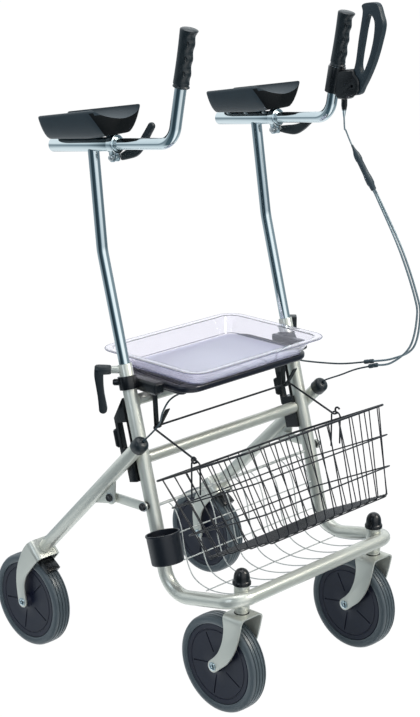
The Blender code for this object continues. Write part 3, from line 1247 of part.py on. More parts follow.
def basket(carrier):
    """A tapered wire basket: thick rim, bent wires both ways, rings, corner wires and bail loops."""
    rim = bmesh.new()
    add_tube(rim, basket_ring(0.0, 0.0), BASKET_RIM_WIRE, 6, closed=True)
    made = mesh_object("basket_rim", rim)
    narrowing = (BASKET_TOP - BASKET_BOTTOM) / 2
    outset = BASKET_WIRE * 2 + SEAT_GAP
    posts = bmesh.new()
    levels = (0.0, -BASKET_HEIGHT * 0.42, -BASKET_HEIGHT * 0.84)
    for corner in range(4):
        index = corner * 3 + 1
        path = [basket_ring(level, outset if level else 0.0)[index] for level in levels]
        path[0] = path[0] + (path[0] - path[1]).normalized() * 0.0005
        add_tube(posts, path, BASKET_WIRE * 1.2, WIRE_SIDES)
    join(made, mesh_object("posts", posts))
    rings = bmesh.new()
    for level in levels[1:]:
        add_tube(rings, basket_ring(level + 0.002, outset), BASKET_WIRE, WIRE_SIDES, closed=True)
    join(made, mesh_object("rings", rings))
    wires = bmesh.new()
    for index in range(BASKET_LONG_WIRES):
        share = -1 + 2 * (index + 0.5) / BASKET_LONG_WIRES
        top_x = share * (BASKET_HALF_WIDTH - 0.006)
        low_x = share * (BASKET_FLOOR_HALF_WIDTH - 0.006)
        corners = (basket_point(top_x, BASKET_TOP, 0.0),
                   basket_point(low_x, BASKET_TOP - narrowing, -BASKET_HEIGHT),
                   basket_point(low_x, narrowing, -BASKET_HEIGHT), basket_point(top_x, 0.0, 0.0))
        add_tube(wires, rounded_path(corners, (0.012, 0.012), radians(90.0)), BASKET_WIRE, WIRE_SIDES)
    under = -BASKET_HEIGHT - BASKET_WIRE * 2 - SEAT_GAP
    for index in range(BASKET_CROSS_WIRES):
        share = (index + 0.5) / BASKET_CROSS_WIRES
        top = 0.008 + share * (BASKET_TOP - 0.016)
        low = narrowing + share * BASKET_BOTTOM
        corners = (basket_point(BASKET_HALF_WIDTH, top, 0.0), basket_point(BASKET_FLOOR_HALF_WIDTH, low, under),
                   basket_point(-BASKET_FLOOR_HALF_WIDTH, low, under),
                   basket_point(-BASKET_HALF_WIDTH, top, 0.0))
        add_tube(wires, rounded_path(corners, (0.012, 0.012), radians(90.0)), BASKET_WIRE, WIRE_SIDES)
    join(made, mesh_object("wires", wires))
    loops = bmesh.new()
    for side in (1, -1):
        x = side * BASKET_HALF_WIDTH
        top_z = BAIL_FOOT_Z + BAIL_WIRE + SEAT_GAP + LOOP_WIRE * sqrt(0.5)
        ends = [BAIL_FOOT_Y - 0.0115, BAIL_FOOT_Y + 0.0115]
        feet = [BASKET_REAR_Z + (BASKET_REAR_Y - y) * tan(BASKET_TILT) for y in ends]
        corners = ((x, ends[0], feet[0]), (x, ends[0], top_z), (x, ends[1], top_z), (x, ends[1], feet[1]))
        add_tube(loops, rounded_path(corners, (0.006, 0.006), radians(31.0)), LOOP_WIRE, WIRE_SIDES)
    join(made, mesh_object("loops", loops))
    made.name = "basket"
    return finish(made, "black_wire", carrier)


def bail(carrier):
    """The basket's wire bail, its ends turned out through the side loops."""
    corners = []
    for side in (1, -1):
        half = [(side * (BASKET_HALF_WIDTH + 0.0050), BAIL_FOOT_Y, BAIL_FOOT_Z),
                (side * BAIL_HALF_WIDTH, BAIL_FOOT_Y, BAIL_FOOT_Z), (side * BAIL_HALF_WIDTH, BAIL_Y, BAIL_Z)]
        corners += half if side > 0 else list(reversed(half))
    path = rounded_path(corners, (0.0035, 0.008, 0.008, 0.0035), radians(30.0))
    return finish(tube("bail", path, BAIL_WIRE, 6), "black_wire", carrier)


def cable(name, points, radius):
    """A round cable as a bevelled curve along its route."""
    path = smooth_path(points, CABLE_STEP)
    curve = bpy.data.curves.new(name, "CURVE")
    curve.dimensions = "3D"
    curve.bevel_depth = radius
    curve.bevel_resolution = 1
    curve.use_fill_caps = True
    spline = curve.splines.new("POLY")
    spline.points.add(len(path) - 1)
    for point, place in zip(spline.points, path):
        point.co = (*place, 1.0)
    made = bpy.data.objects.new(name, curve)
    bpy.context.collection.objects.link(made)
    curve.materials.append(material("black_plastic"))
    return made


def beside_frame(places):
    """Places on a cable's route, moved sideways in step with the frame's width."""
    scale = FRAME_HALF_WIDTH / ROUTE_HALF_WIDTH
    return [Vector((x * scale, y, z)) for x, y, z in places]


def cables():
    """One cable from the brake lever to a splitter, and one on to each rear leg."""
    ferrule = Vector((handle_x(1), *from_base(((FERRULE_FORWARD, FERRULE_UP),))[0]))
    start = ferrule - Vector((0.0, 0.0, 0.016 + SEAT_GAP))
    top, end = beside_frame((SPLITTER_TOP, SPLITTER_END))
    way = (end - top).normalized()
    cable("cable_upper", (start, start - Vector((0.0, 0.0, 0.010)), top - way * 0.012, top - way * SEAT_GAP),
          0.0014)
    length = (end - top).length
    profile = ((0.0, 0.0), (0.0026, 0.0), (0.0058, 0.006), (0.0070, 0.030), (0.0060, length - 0.012),
               (0.0050, length), (0.0, length))
    finish(turned("cable_splitter", profile, top, way, 10), "black_plastic")
    beside = square_axes(way)[0] * 0.0022
    first = end + way * SEAT_GAP - beside
    second = end + way * SEAT_GAP + beside
    caps = [leg_point(side, LEG_LENGTH + 0.001 + LEG_CAP_RADIUS * 0.85 + SEAT_GAP) for side in (1, -1)]
    cable("cable_left", [first, first + way * 0.022] + beside_frame(CABLE_LEFT_ROUTE) +
          [caps[0] - LEG_DOWN * 0.010, caps[0]], CABLE_RADIUS)
    cable("cable_right", [second, second + way * 0.022] + beside_frame(CABLE_RIGHT_ROUTE) +
          [caps[1] - LEG_DOWN * 0.010, caps[1]], CABLE_RADIUS)


def build():
    clear_scene()
    slide = joint("fold_slide", (0.0, upright(1, CARRIAGE_Z).y + CARRIAGE_BACK, CARRIAGE_Z))
    front_frame()
    lower_rack()
    cup_holder()
    seat_panel()
    tray(joint("tray_lift", (0.0, TRAY_CENTRE_Y, SEAT_TOP_Z)))
    basket_lift = joint("basket_lift", (0.0, BAIL_Y, BAIL_Z))
    basket(basket_lift)
    bail(joint("bail_hinge", (0.0, BAIL_FOOT_Y, BAIL_FOOT_Z), basket_lift))
    carriage_bar(slide)
    cables()
    for side in (1, -1):
        label = "_" + SIDE_NAMES[side]
        seat_bracket(side)
        dome_cap(side)
        link_pin(side)
        post_slide = joint("post_slide" + label, upright(side, UPRIGHT_TOP_Z))
        post(side, post_slide)
        arm_sleeve(side, post_slide)
        arm_pad(side, post_slide)
        post_lever(side, joint("post_lever_turn" + label, upright(side, CLAMP_SCREW_Z)))
        bolt = arm_point(side, CLAMP_FORWARD, CLAMP_LEVER_NEAR, -CLAMP_DROP)
        quick_lever(side, joint("quick_lever_turn" + label, bolt, post_slide))
        handle_slide = joint("handle_slide" + label, arm_point(side, SLEEVE_FRONT), post_slide)
        handle_tube(side, handle_slide)
        grip(side, handle_slide)
        if side > 0:
            brake_housing(handle_slide)
            brake_lever(joint("brake_lever_hinge", brake_pivot(), handle_slide))
        slide_block(side, slide)
        leg_hinge = joint("leg_hinge" + label, leg_point(side, LEG_PIVOT_UP), slide)
        rear_leg(side, leg_hinge)
        leg_cap(side, leg_hinge)
        rear_fork(side, leg_hinge)
        pivot_y, pivot_z = shoe_pivot()
        brake_shoe(side, joint("shoe_hinge" + label, (side * REAR_HALF_TRACK, pivot_y, pivot_z), leg_hinge))
        rear_centre = Vector((side * REAR_HALF_TRACK, AXLE_REAR_Y, WHEEL_RADIUS))
        wheel_pieces("rear", side, joint("rear_wheel_spin" + label, rear_centre, leg_hinge), leg_hinge,
                     rear_centre)
        foot = upright(side, LINK_FOOT_Z)
        foot.x = side * LINK_INNER_X
        link(side, joint("link_hinge" + label, foot))
        swivel = joint("caster_swivel" + label, (side * STEM_HALF_SPACING, STEM_Y, CROWN_TOP_Z))
        front_fork(side, swivel)
        front_centre = Vector((side * STEM_HALF_SPACING, AXLE_FRONT_Y, WHEEL_RADIUS))
        wheel_pieces("front", side, joint("front_wheel_spin" + label, front_centre, swivel), swivel,
                     front_centre)


build()
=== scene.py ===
import json
from math import acos, atan2, ceil, cos, pi, radians, sin, sqrt, tan

import bmesh
import bpy
from mathutils import Matrix, Vector

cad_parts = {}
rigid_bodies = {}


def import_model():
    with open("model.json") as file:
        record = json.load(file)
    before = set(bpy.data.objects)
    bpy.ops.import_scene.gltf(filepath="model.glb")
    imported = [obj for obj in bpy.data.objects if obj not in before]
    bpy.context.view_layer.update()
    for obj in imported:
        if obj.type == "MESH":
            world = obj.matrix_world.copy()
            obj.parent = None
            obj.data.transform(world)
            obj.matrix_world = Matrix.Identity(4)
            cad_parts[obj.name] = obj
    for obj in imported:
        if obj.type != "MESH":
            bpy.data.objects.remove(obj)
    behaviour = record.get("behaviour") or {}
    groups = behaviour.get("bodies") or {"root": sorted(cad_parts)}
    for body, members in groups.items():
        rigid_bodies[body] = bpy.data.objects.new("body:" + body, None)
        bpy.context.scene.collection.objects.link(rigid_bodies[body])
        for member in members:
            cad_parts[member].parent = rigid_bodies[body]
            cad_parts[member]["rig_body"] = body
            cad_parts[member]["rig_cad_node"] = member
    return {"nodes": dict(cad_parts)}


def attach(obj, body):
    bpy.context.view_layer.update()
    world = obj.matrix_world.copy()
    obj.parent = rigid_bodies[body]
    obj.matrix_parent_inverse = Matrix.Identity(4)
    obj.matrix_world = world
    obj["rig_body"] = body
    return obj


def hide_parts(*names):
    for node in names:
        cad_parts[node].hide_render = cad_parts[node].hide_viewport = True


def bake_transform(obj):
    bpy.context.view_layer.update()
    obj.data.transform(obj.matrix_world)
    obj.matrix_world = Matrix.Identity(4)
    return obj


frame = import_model()
for unused in ("Cube", "Light", "Camera"):
    if unused in bpy.data.objects:
        bpy.data.objects.remove(bpy.data.objects[unused], do_unlink=True)
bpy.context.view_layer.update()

SIDES = {1: "left", -1: "right"}
X = Vector((1.0, 0.0, 0.0))
Y = Vector((0.0, 1.0, 0.0))
Z = Vector((0.0, 0.0, 1.0))
WHITE = (1.0, 1.0, 1.0, 1.0)

# Sizes in metres, most of them the CAD model's. The loop's front, which rises to the front bar, and the
# basket's floor, wider fore and aft and narrower across, follow the photograph more closely.
WHEEL_RADIUS = 0.1
AXLE_Y = {"front": -0.2475, "rear": 0.2475}
FRAME_HALF_WIDTH = 0.231
REAR_HALF_TRACK = 0.262
STEM_HALF_SPACING = 0.197
STEM_Y = -0.296
TUBE_RADIUS = 0.014
UPRIGHT_FOOT_Y = -0.1925
UPRIGHT_TOP_Z = 0.664
UPRIGHT_LEAN = radians(14.85)
UPRIGHT_UP = Vector((0.0, sin(UPRIGHT_LEAN), cos(UPRIGHT_LEAN)))
UPRIGHT_BACK = Vector((0.0, cos(UPRIGHT_LEAN), -sin(UPRIGHT_LEAN)))
FRONT_BAR_Y = -0.315
FRONT_BAR_Z = 0.2555
FRONT_BEND = 0.038
LOOP_Z = 0.2152
LOOP_BEND = 0.055
UPPER_BAR_Z = 0.5925
CROSSBAR_RADIUS = 0.011
HEAD_TUBE_BOTTOM_Z = 0.2214
HEAD_TUBE_TOP_Z = 0.2778
CLAMP_SCREW_Z = 0.653
POST_RADIUS = 0.011
POST_BOTTOM_Z = 0.535
POST_BEND_Z = 0.879
POST_BEND = 0.12
ARM_X = 0.2262
ARM_Y = 0.066
ARM_Z = 1.08
ARM_RISE = radians(6.6)
ARM_TOE_IN = radians(2.6)
SLEEVE_RADIUS = 0.0135
SLEEVE_REAR = 0.11
SLEEVE_FRONT = 0.07
CLAMP_FORWARD = 0.059
CLAMP_DROP = 0.024
QUICK_LEVER_TURN = {1: radians(12.0), -1: radians(30.0)}
HANDLE_RADIUS = 0.011
HANDLE_REAR = 0.09
HANDLE_CORNER = 0.2095
HANDLE_BEND = 0.042
HANDLE_LEAN = radians(10.7)
HANDLE_HEIGHT = 0.209
GRIP_LENGTH = 0.108
GRIP_PAST_BAR = 0.0038
GRIP_START = HANDLE_HEIGHT + GRIP_PAST_BAR - GRIP_LENGTH
GRIP_EDGE = 0.0026
GRIP_RINGS = 72
PAD_RIM = 0.065
PAD_RISE = 0.055
TROUGH_RIM = 0.0655
TROUGH_HALF_WIDTH = 0.0385
SEAT_TOP_Z = 0.628
SEAT_HALF_WIDTH = 0.181
SEAT_HALF_DEPTH = 0.103
SEAT_CENTRE_Y = -0.035
SEAT_SLOTS = 18
COLLAR_BOTTOM_Z = 0.6165
TRAY_CENTRE_Y = -0.034
LEG_FOOT_Y = 0.2035
LEG_FOOT_Z = 0.2288
LEG_SLOPE = radians(45.2)
LEG_DOWN = Vector((0.0, cos(LEG_SLOPE), -sin(LEG_SLOPE)))
LEG_UNDER = Vector((0.0, -sin(LEG_SLOPE), -cos(LEG_SLOPE)))
LEG_LENGTH = 0.4172
BALL_RADIUS = 0.016
GUSSET_UP = 0.2591
GUSSET_OFF = 0.0293
LINK_PLATE = 0.004
LINK_INNER_X = 0.2505
LINK_FOOT_Z = 0.3946
GUSSET_INNER_X = LINK_INNER_X + 0.007
CARRIAGE_Z = 0.479
FORK_HALF_GAP = 0.027
FORK_PLATE = 0.0035
FORK_BLANK = 0.3
CROWN_TOP_Z = 0.22
BASKET_REAR_Y = -0.07
BASKET_REAR_Z = 0.428
BASKET_TILT = radians(26.1)
BASKET_HALF_WIDTH = 0.205
BASKET_FLOOR_HALF_WIDTH = 0.175
BASKET_TOP = 0.268
BASKET_BOTTOM = 0.204
BASKET_NARROWING = (BASKET_TOP - BASKET_BOTTOM) / 2
BASKET_HEIGHT = 0.174
LONG_WIRES, CROSS_WIRES, FLOOR_WIRES = 13, 7, 22
BAIL_WIRE = 0.0021
BAIL_Y, BAIL_Z = -0.183, 0.4965
HOOK_Y, HOOK_Z = -0.059, 0.537
RACK_ROD_Y = -0.087
RACK_ROD_Z = 0.387
CUP_RIM_Z = 0.346
CUP_OUT = 0.0255
CUP_FORWARD = 0.0432

# The brake: its ferrule, its lever's outline and the lever's window, forwards and up from the handle's corner
FERRULE = (0.0381, 0.0329)
LEVER_OUTLINE = (
    (0.0816, 0.0539), (0.0895, 0.0676), (0.1013, 0.0879), (0.1153, 0.1178), (0.1265, 0.151),
    (0.1351, 0.1874), (0.1296, 0.2077), (0.1191, 0.2284), (0.0971, 0.2294), (0.0821, 0.2239),
    (0.0843, 0.2109), (0.0806, 0.1856), (0.0756, 0.1568), (0.0701, 0.1174), (0.0641, 0.0959),
    (0.0566, 0.0759), (0.0581, 0.0609), (0.0691, 0.0519))
LEVER_WINDOW = (
    (0.1002, 0.2077), (0.1128, 0.1972), (0.1136, 0.1728), (0.1072, 0.1401), (0.0957, 0.1086),
    (0.0862, 0.0943), (0.0796, 0.1071), (0.0816, 0.1284), (0.0869, 0.1575), (0.0926, 0.1865))

# The cables: the radius of each kind, the splitter's ends, and the routes from it to the rear legs
UPPER_CABLE = 0.0016
SHEATH_RADIUS = 0.0022
BARE_CABLE = 0.0018
CABLE_END = 0.0017
CURVE_PARTS = 8
CLIP_POINT = 5
SPLITTER_TOP = Vector((0.235, -0.19, 1.046))
SPLITTER_END = Vector((0.26, -0.225, 0.962))
LEFT_ROUTE = (
    (0.258, -0.295, 0.851), (0.268, -0.328, 0.76), (0.274, -0.331, 0.715),
    (0.279, -0.312, 0.65), (0.284, -0.262, 0.605), (0.284, -0.215, 0.589),
    (0.2825, -0.17, 0.572), (0.276, -0.135, 0.554))
RIGHT_ROUTE = (
    (0.264, -0.296, 0.853), (0.2735, -0.33, 0.762), (0.28, -0.3345, 0.715),
    (0.2855, -0.316, 0.648), (0.289, -0.262, 0.613), (0.288, -0.2, 0.594),
    (0.278, -0.14, 0.579), (0.258, -0.1, 0.577), (0.234, -0.07, 0.58),
    (0.2, -0.065, 0.59), (0.12, -0.068, 0.596), (0.0, -0.07, 0.5965),
    (-0.12, -0.074, 0.596), (-0.172, -0.083, 0.594), (-0.225, -0.115, 0.588),
    (-0.256, -0.138, 0.577), (-0.263, -0.127, 0.56))

# The camera, solved from the photograph: angles in radians, the focal length in the photograph's pixels
CAMERA_PLACE = (-2.3995, -2.3735, 1.6317)
CAMERA_YAW, CAMERA_PITCH, CAMERA_ROLL = 0.7952, 0.2909, -0.0035
FOCAL_PIXELS = 1732.5
PHOTO_HEIGHT = 717
SENSOR = 36.0


# Places

def upright(side, height):
    """A point on an upright's axis at a height."""
    return Vector((side * FRAME_HALF_WIDTH, UPRIGHT_FOOT_Y + tan(UPRIGHT_LEAN) * height, height))


def diagonal(side):
    """The way a post clamp's screw points: outwards and back."""
    return Vector((side * sqrt(0.5), sqrt(0.5), 0.0))


def leg_point(side, up=0.0, under=0.0):
    """A point up a rear leg's axis from its foot and square below it."""
    foot = Vector((side * REAR_HALF_TRACK, LEG_FOOT_Y, LEG_FOOT_Z))
    return foot - LEG_DOWN * up + LEG_UNDER * under


def arm_axes(side):
    """A forearm rest's own frame: forwards, across towards +X, and up."""
    forward = Vector((-side * sin(ARM_TOE_IN) * cos(ARM_RISE), -cos(ARM_TOE_IN) * cos(ARM_RISE),
                      sin(ARM_RISE)))
    across = Vector((cos(ARM_TOE_IN), -side * sin(ARM_TOE_IN), 0.0))
    return forward, across, forward.cross(across)


def arm_point(side, forward=0.0, across=0.0, up=0.0):
    """A point in a forearm rest's own frame, from the sleeve's axis over the post."""
    way, beside, above = arm_axes(side)
    return Vector((side * ARM_X, ARM_Y, ARM_Z)) + way * forward + beside * across + above * up


def handle_up(side):
    """The way a handle's upper part rises."""
    way = arm_axes(side)[0]
    level = Vector((way.x, way.y, 0.0)).normalized()
    return (level * sin(HANDLE_LEAN) + Z * cos(HANDLE_LEAN)).normalized()


def handle_corner(side):
    """Where a handle's two straight parts would meet."""
    return arm_point(side, HANDLE_CORNER)


def from_corner(points):
    """Brake points, given forwards and up from the left handle's corner, as (y, z)."""
    corner = handle_corner(1)
    return [(corner.y - forward, corner.z + up) for forward, up in points]


def ferrule_place():
    """Where the brake cable leaves the brake's housing."""
    return Vector((handle_corner(1).x, *from_corner([FERRULE])[0]))


def splitter_way():
    """The way the splitter points: down along the cable."""
    return (SPLITTER_END - SPLITTER_TOP).normalized()


def basket_point(x, forward, height):
    """A point in the basket's tilted frame: forwards from its rear rim and up from the rim."""
    return Vector((x, BASKET_REAR_Y - forward * cos(BASKET_TILT) + height * sin(BASKET_TILT),
                   BASKET_REAR_Z + forward * sin(BASKET_TILT) + height * cos(BASKET_TILT)))


# Lines and outlines

def arc(centre, radius, start, end, steps):
    """Points on a flat arc, from start to end in radians."""
    turns = [start + (end - start) * step / steps for step in range(steps + 1)]
    return [(centre[0] + radius * cos(turn), centre[1] + radius * sin(turn)) for turn in turns]


def rounded_rectangle(half_a, half_b, radius, steps=6, centre=(0.0, 0.0)):
    """A flat outline from its half sizes, with steps in each of its round corners."""
    points = []
    for quarter, (sign_a, sign_b) in enumerate(((1, 1), (-1, 1), (-1, -1), (1, -1))):
        corner = (centre[0] + sign_a * (half_a - radius), centre[1] + sign_b * (half_b - radius))
        points += arc(corner, radius, quarter * pi / 2, (quarter + 1) * pi / 2, steps)
    return points


def stadium(start, end, radius, steps=10):
    """A flat bar's outline, with round ends, between two points."""
    turn = atan2(end[1] - start[1], end[0] - start[0])
    return (arc(end, radius, turn - pi / 2, turn + pi / 2, steps)
            + arc(start, radius, turn + pi / 2, turn + 3 * pi / 2, steps))


def bend_at(before, corner, after, radius):
    """A bend's start, end, centre, axis and turn."""
    towards = (before - corner).normalized()
    away = (after - corner).normalized()
    turn = pi - acos(max(-1.0, min(1.0, towards.dot(away))))
    start = corner + towards * radius * tan(turn / 2)
    end = corner + away * radius * tan(turn / 2)
    centre = corner + (towards + away).normalized() * (radius / cos(turn / 2))
    return start, end, centre, (start - centre).cross(end - centre).normalized(), turn


def rounded_path(corners, radii, step=radians(12.0)):
    """A path with its inner corners rounded to arcs."""
    corners = [Vector(corner) for corner in corners]
    path = [corners[0]]
    for index, radius in enumerate(radii, start=1):
        start, _, centre, axis, turn = bend_at(*corners[index - 1:index + 2], radius)
        steps = max(2, ceil(turn / step))
        for part in range(steps + 1):
            path.append(centre + Matrix.Rotation(turn * part / steps, 3, axis) @ (start - centre))
    path.append(corners[-1])
    return path


def smooth_line(points, parts=8, closed=False):
    """A smooth curve through the points, which may be flat or in space."""
    points = [Vector(point) for point in points]
    if closed:
        ends = [points[-1]] + points + points[:2]
    else:
        ends = [points[0] * 2 - points[1]] + points + [points[-1] * 2 - points[-2]]
    line = []
    for a, b, c, d in zip(ends, ends[1:], ends[2:], ends[3:]):
        for part in range(parts):
            t = part / parts
            line.append(0.5 * (2 * b + (c - a) * t + (2 * a - 5 * b + 4 * c - d) * t * t
                               + (3 * b - a - 3 * c + d) * t ** 3))
    if not closed:
        line.append(points[-1])
    return line


def ribbon(centre_line, widths, parts=6, tip_steps=14):
    """The outline of an arm along a smooth centre line, square at its start, round at its tip."""
    line = smooth_line([(a, b, w) for (a, b), w in zip(centre_line, widths)], parts)
    left, right = [], []
    for index, point in enumerate(line):
        along = line[min(index + 1, len(line) - 1)] - line[max(index - 1, 0)]
        square = Vector((-along.y, along.x)).normalized() * point.z / 2
        left.append(point.xy + square)
        right.append(point.xy - square)
    tip = line[-1].xy
    start = atan2(left[-1].y - tip.y, left[-1].x - tip.x)
    round_tip = arc(tip, line[-1].z / 2, start, start - pi, tip_steps)
    return [tuple(p) for p in left[:-1]] + round_tip + [tuple(p) for p in reversed(right[:-1])]


def both_ways(half):
    """A turned profile from its one half: (radius, distance from its middle)."""
    return half + [(radius, -reach) for radius, reach in reversed(half)]


def square_axes(direction):
    """Two unit vectors square to a direction; the first lies along X where it can."""
    along = Vector(direction).normalized()
    guide = Y if abs(along.x) > 0.9 else X
    first = (guide - along * guide.dot(along)).normalized()
    return first, along.cross(first)


# Modelling

def pick(made):
    """Selects one object alone and makes it active."""
    bpy.ops.object.select_all(action="DESELECT")
    made.select_set(True)
    bpy.context.view_layer.objects.active = made
    return made


def edit(made, mode="VERT"):
    """Goes into edit mode with everything selected."""
    pick(made)
    bpy.ops.object.mode_set(mode="EDIT")
    bpy.ops.mesh.select_mode(type=mode)
    bpy.ops.mesh.select_all(action="SELECT")


def leave(made):
    """Goes back to object mode."""
    bpy.ops.object.mode_set(mode="OBJECT")
    return made


def extrude(way):
    """Extrudes what is selected and moves it."""
    bpy.ops.mesh.extrude_region_move(TRANSFORM_OT_translate={"value": tuple(way)})


def close_up(made):
    """Merges doubles, fills the open ends and turns every face outwards."""
    edit(made)
    bpy.ops.mesh.remove_doubles(threshold=1e-6)
    bpy.ops.mesh.dissolve_degenerate(threshold=1e-7)
    bpy.ops.mesh.select_all(action="SELECT")
    bpy.ops.mesh.fill_holes(sides=0)
    bpy.ops.mesh.select_all(action="SELECT")
    bpy.ops.mesh.normals_make_consistent(inside=False)
    return leave(made)


def loop(name, points):
    """A circle primitive whose corners are moved to the points."""
    bpy.ops.object.select_all(action="DESELECT")
    bpy.ops.mesh.primitive_circle_add(vertices=len(points), radius=0.01, fill_type="NOTHING")
    made = bpy.context.object
    made.name = name
    for vertex, place in zip(made.data.vertices, points):
        vertex.co = place
    return made


def around(place, first, second, radius, sides):
    """Points on a circle round a place."""
    turns = [2.0 * pi * (step + 0.5) / sides for step in range(sides)]
    return [place + (first * cos(turn) + second * sin(turn)) * radius for turn in turns]


def tube(name, corners, bends, radius, sides=32, step=radians(5.0)):
    """A bent tube: a ring extruded along each straight and spun round each bend."""
    corners = [Vector(corner) for corner in corners]
    made = loop(name, around(corners[0], *square_axes(corners[1] - corners[0]), radius, sides))
    edit(made)
    place = corners[0]
    for index, bend in enumerate(bends, start=1):
        start, end, centre, axis, turn = bend_at(*corners[index - 1:index + 2], bend)
        extrude(start - place)
        bpy.ops.mesh.spin(steps=max(2, ceil(turn / step)), angle=-turn, center=centre, axis=axis)
        place = end
    extrude(corners[-1] - place)
    leave(made)
    return close_up(made)


def bar(name, place, half_length, radius, sides=32):
    """A round bar across the object, centred on a place."""
    return tube(name, (Vector(place) - X * half_length, Vector(place) + X * half_length), (), radius, sides)


def spun(name, profile, origin, axis, steps=48):
    """A turned piece: a profile of (radius, distance along the axis) spun all the way round."""
    along = Vector(axis).normalized()
    first = square_axes(along)[0]
    made = loop(name, [Vector(origin) + first * radius + along * reach for radius, reach in profile])
    edit(made)
    bpy.ops.mesh.spin(steps=steps, angle=2 * pi, center=Vector(origin), axis=along)
    leave(made)
    return close_up(made)


def plate(name, outline, origin, across, up, thickness):
    """An outline of (across, up) points, filled and extruded square to itself."""
    across, up = Vector(across).normalized(), Vector(up).normalized()
    made = loop(name, [Vector(origin) + across * a + up * b for a, b in outline])
    edit(made)
    bpy.ops.mesh.edge_face_add()
    extrude(across.cross(up) * thickness)
    bpy.ops.mesh.select_all(action="SELECT")
    bpy.ops.mesh.normals_make_consistent(inside=False)
    return leave(made)


def side_plate(name, outline, x_low, thickness):
    """A flat piece standing fore and aft: outline points are (y, z)."""
    return plate(name, outline, X * x_low, Y, Z, thickness)


def lofted(name, rings):
    """Closed rings of points, each extruded from the one before."""
    made = loop(name, rings[0])
    edit(made)
    for ring in rings[1:]:
        extrude((0.0, 0.0, 0.0))
        mesh = bmesh.from_edit_mesh(made.data)
        mesh.verts.ensure_lookup_table()
        for vertex, place in zip(mesh.verts[-len(ring):], ring):
            vertex.co = place
        bmesh.update_edit_mesh(made.data)
    leave(made)
    return close_up(made)


def wires(name, paths, radius, sides=8, closed=False):
    """Round wires along paths, drawn as one bevelled curve and turned into a mesh."""
    bpy.ops.object.select_all(action="DESELECT")
    bpy.ops.curve.primitive_bezier_curve_add()
    made = bpy.context.object
    made.name = name
    made.data.splines.clear()
    for path in paths:
        spline = made.data.splines.new("POLY")
        spline.points.add(len(path) - 1)
        spline.use_cyclic_u = closed
        for point, place in zip(spline.points, path):
            point.co = (*place, 1.0)
    made.data.bevel_depth = radius
    made.data.bevel_resolution = (sides - 4) // 2
    made.data.use_fill_caps = True
    bpy.ops.object.convert(target="MESH")
    made = bpy.context.object
    return smooth(close_up(made), 50.0)


def modified(made, kind, **settings):
    """One modifier, set and applied."""
    change = made.modifiers.new(kind.lower(), kind)
    for setting, value in settings.items():
        setattr(change, setting, value)
    pick(made)
    bpy.ops.object.modifier_apply(modifier=change.name)
    return made


def combined(target, tool, operation):
    """A boolean modifier applied, and its tool removed."""
    modified(target, "BOOLEAN", operation=operation, solver="EXACT", object=tool)
    bpy.data.objects.remove(tool, do_unlink=True)
    return target


def joined(target, tool):
    """Two solids made one."""
    return combined(target, tool, "UNION")


def cut(target, tool):
    """A solid less its tool."""
    return combined(target, tool, "DIFFERENCE")


def bevelled(made, width, segments=3, angle=35.0):
    """Rounds the edges sharper than an angle in degrees."""
    modified(made, "BEVEL", width=width, segments=segments, limit_method="ANGLE",
             angle_limit=radians(angle))
    return smooth(made)


def smooth(made, angle=35.0):
    """Shades smooth across edges below an angle in degrees."""
    pick(made)
    bpy.ops.object.shade_smooth_by_angle(angle=radians(angle))
    return made


def hollow(made, place, way, wall, depth):
    """The end face at a place, inset by the wall and pushed in."""
    edit(made, "FACE")
    bpy.ops.mesh.select_all(action="DESELECT")
    mesh = bmesh.from_edit_mesh(made.data)
    for face in mesh.faces:
        if (face.calc_center_median() - Vector(place)).length < 0.0004:
            face.select_set(True)
    bmesh.update_edit_mesh(made.data)
    bpy.ops.mesh.inset(thickness=wall)
    extrude(-Vector(way).normalized() * depth)
    return leave(made)


def copied(made, name):
    """A second piece like the first."""
    pick(made)
    bpy.ops.object.duplicate()
    twin = bpy.context.object
    twin.name = name
    return twin


def softened(node, width, segments=2):
    """A copy of a CAD node with its loose triangles merged and its edges rounded."""
    made = copied(frame["nodes"][node], node + "_fine")
    bpy.ops.object.parent_clear(type="CLEAR_KEEP_TRANSFORM")
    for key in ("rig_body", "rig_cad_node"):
        if key in made:
            del made[key]
    edit(made)
    bpy.ops.mesh.remove_doubles(threshold=1e-5)
    bpy.ops.mesh.dissolve_limited(angle_limit=radians(0.5))
    leave(made)
    return bevelled(made, width, segments)


def placed(made, body, material, *nodes):
    """Gives a piece its finish and its body, and says which CAD nodes it stands for."""
    made.data.materials.clear()
    made.data.materials.append(material)
    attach(made, body)
    if nodes:
        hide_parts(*nodes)
    return made


def turned(name, profile, origin, axis, steps, angle, body, material, *nodes):
    """A spun piece, smoothed below an angle in degrees and placed."""
    return placed(smooth(spun(name, profile, origin, axis, steps), angle), body, material, *nodes)


def blended(made, material, first, second, *nodes):
    """Gives a cable its finish, bakes its place into its mesh and hides the CAD nodes it stands for.

    first and second, each a body and a place on the cable, are not used."""
    made.data.materials.clear()
    made.data.materials.append(material)
    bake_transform(made)
    if nodes:
        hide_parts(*nodes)
    return made


# Finishes

def colour(code):
    """A hex sRGB colour as a linear RGBA."""
    parts = [int(code[index:index + 2], 16) / 255 for index in (1, 3, 5)]
    return tuple(p / 12.92 if p <= 0.04045 else ((p + 0.055) / 1.055) ** 2.4 for p in parts) + (1.0,)


def add_node(tree, kind, settings=None, links=None):
    """Adds a shader node; links holds a value or another node's output for each input."""
    made = tree.nodes.new("ShaderNode" + kind)
    for name, value in (settings or {}).items():
        setattr(made, name, value)
    for name, value in (links or {}).items():
        if isinstance(value, bpy.types.NodeSocket):
            tree.links.new(value, made.inputs[name])
        else:
            made.inputs[name].default_value = value
    return made


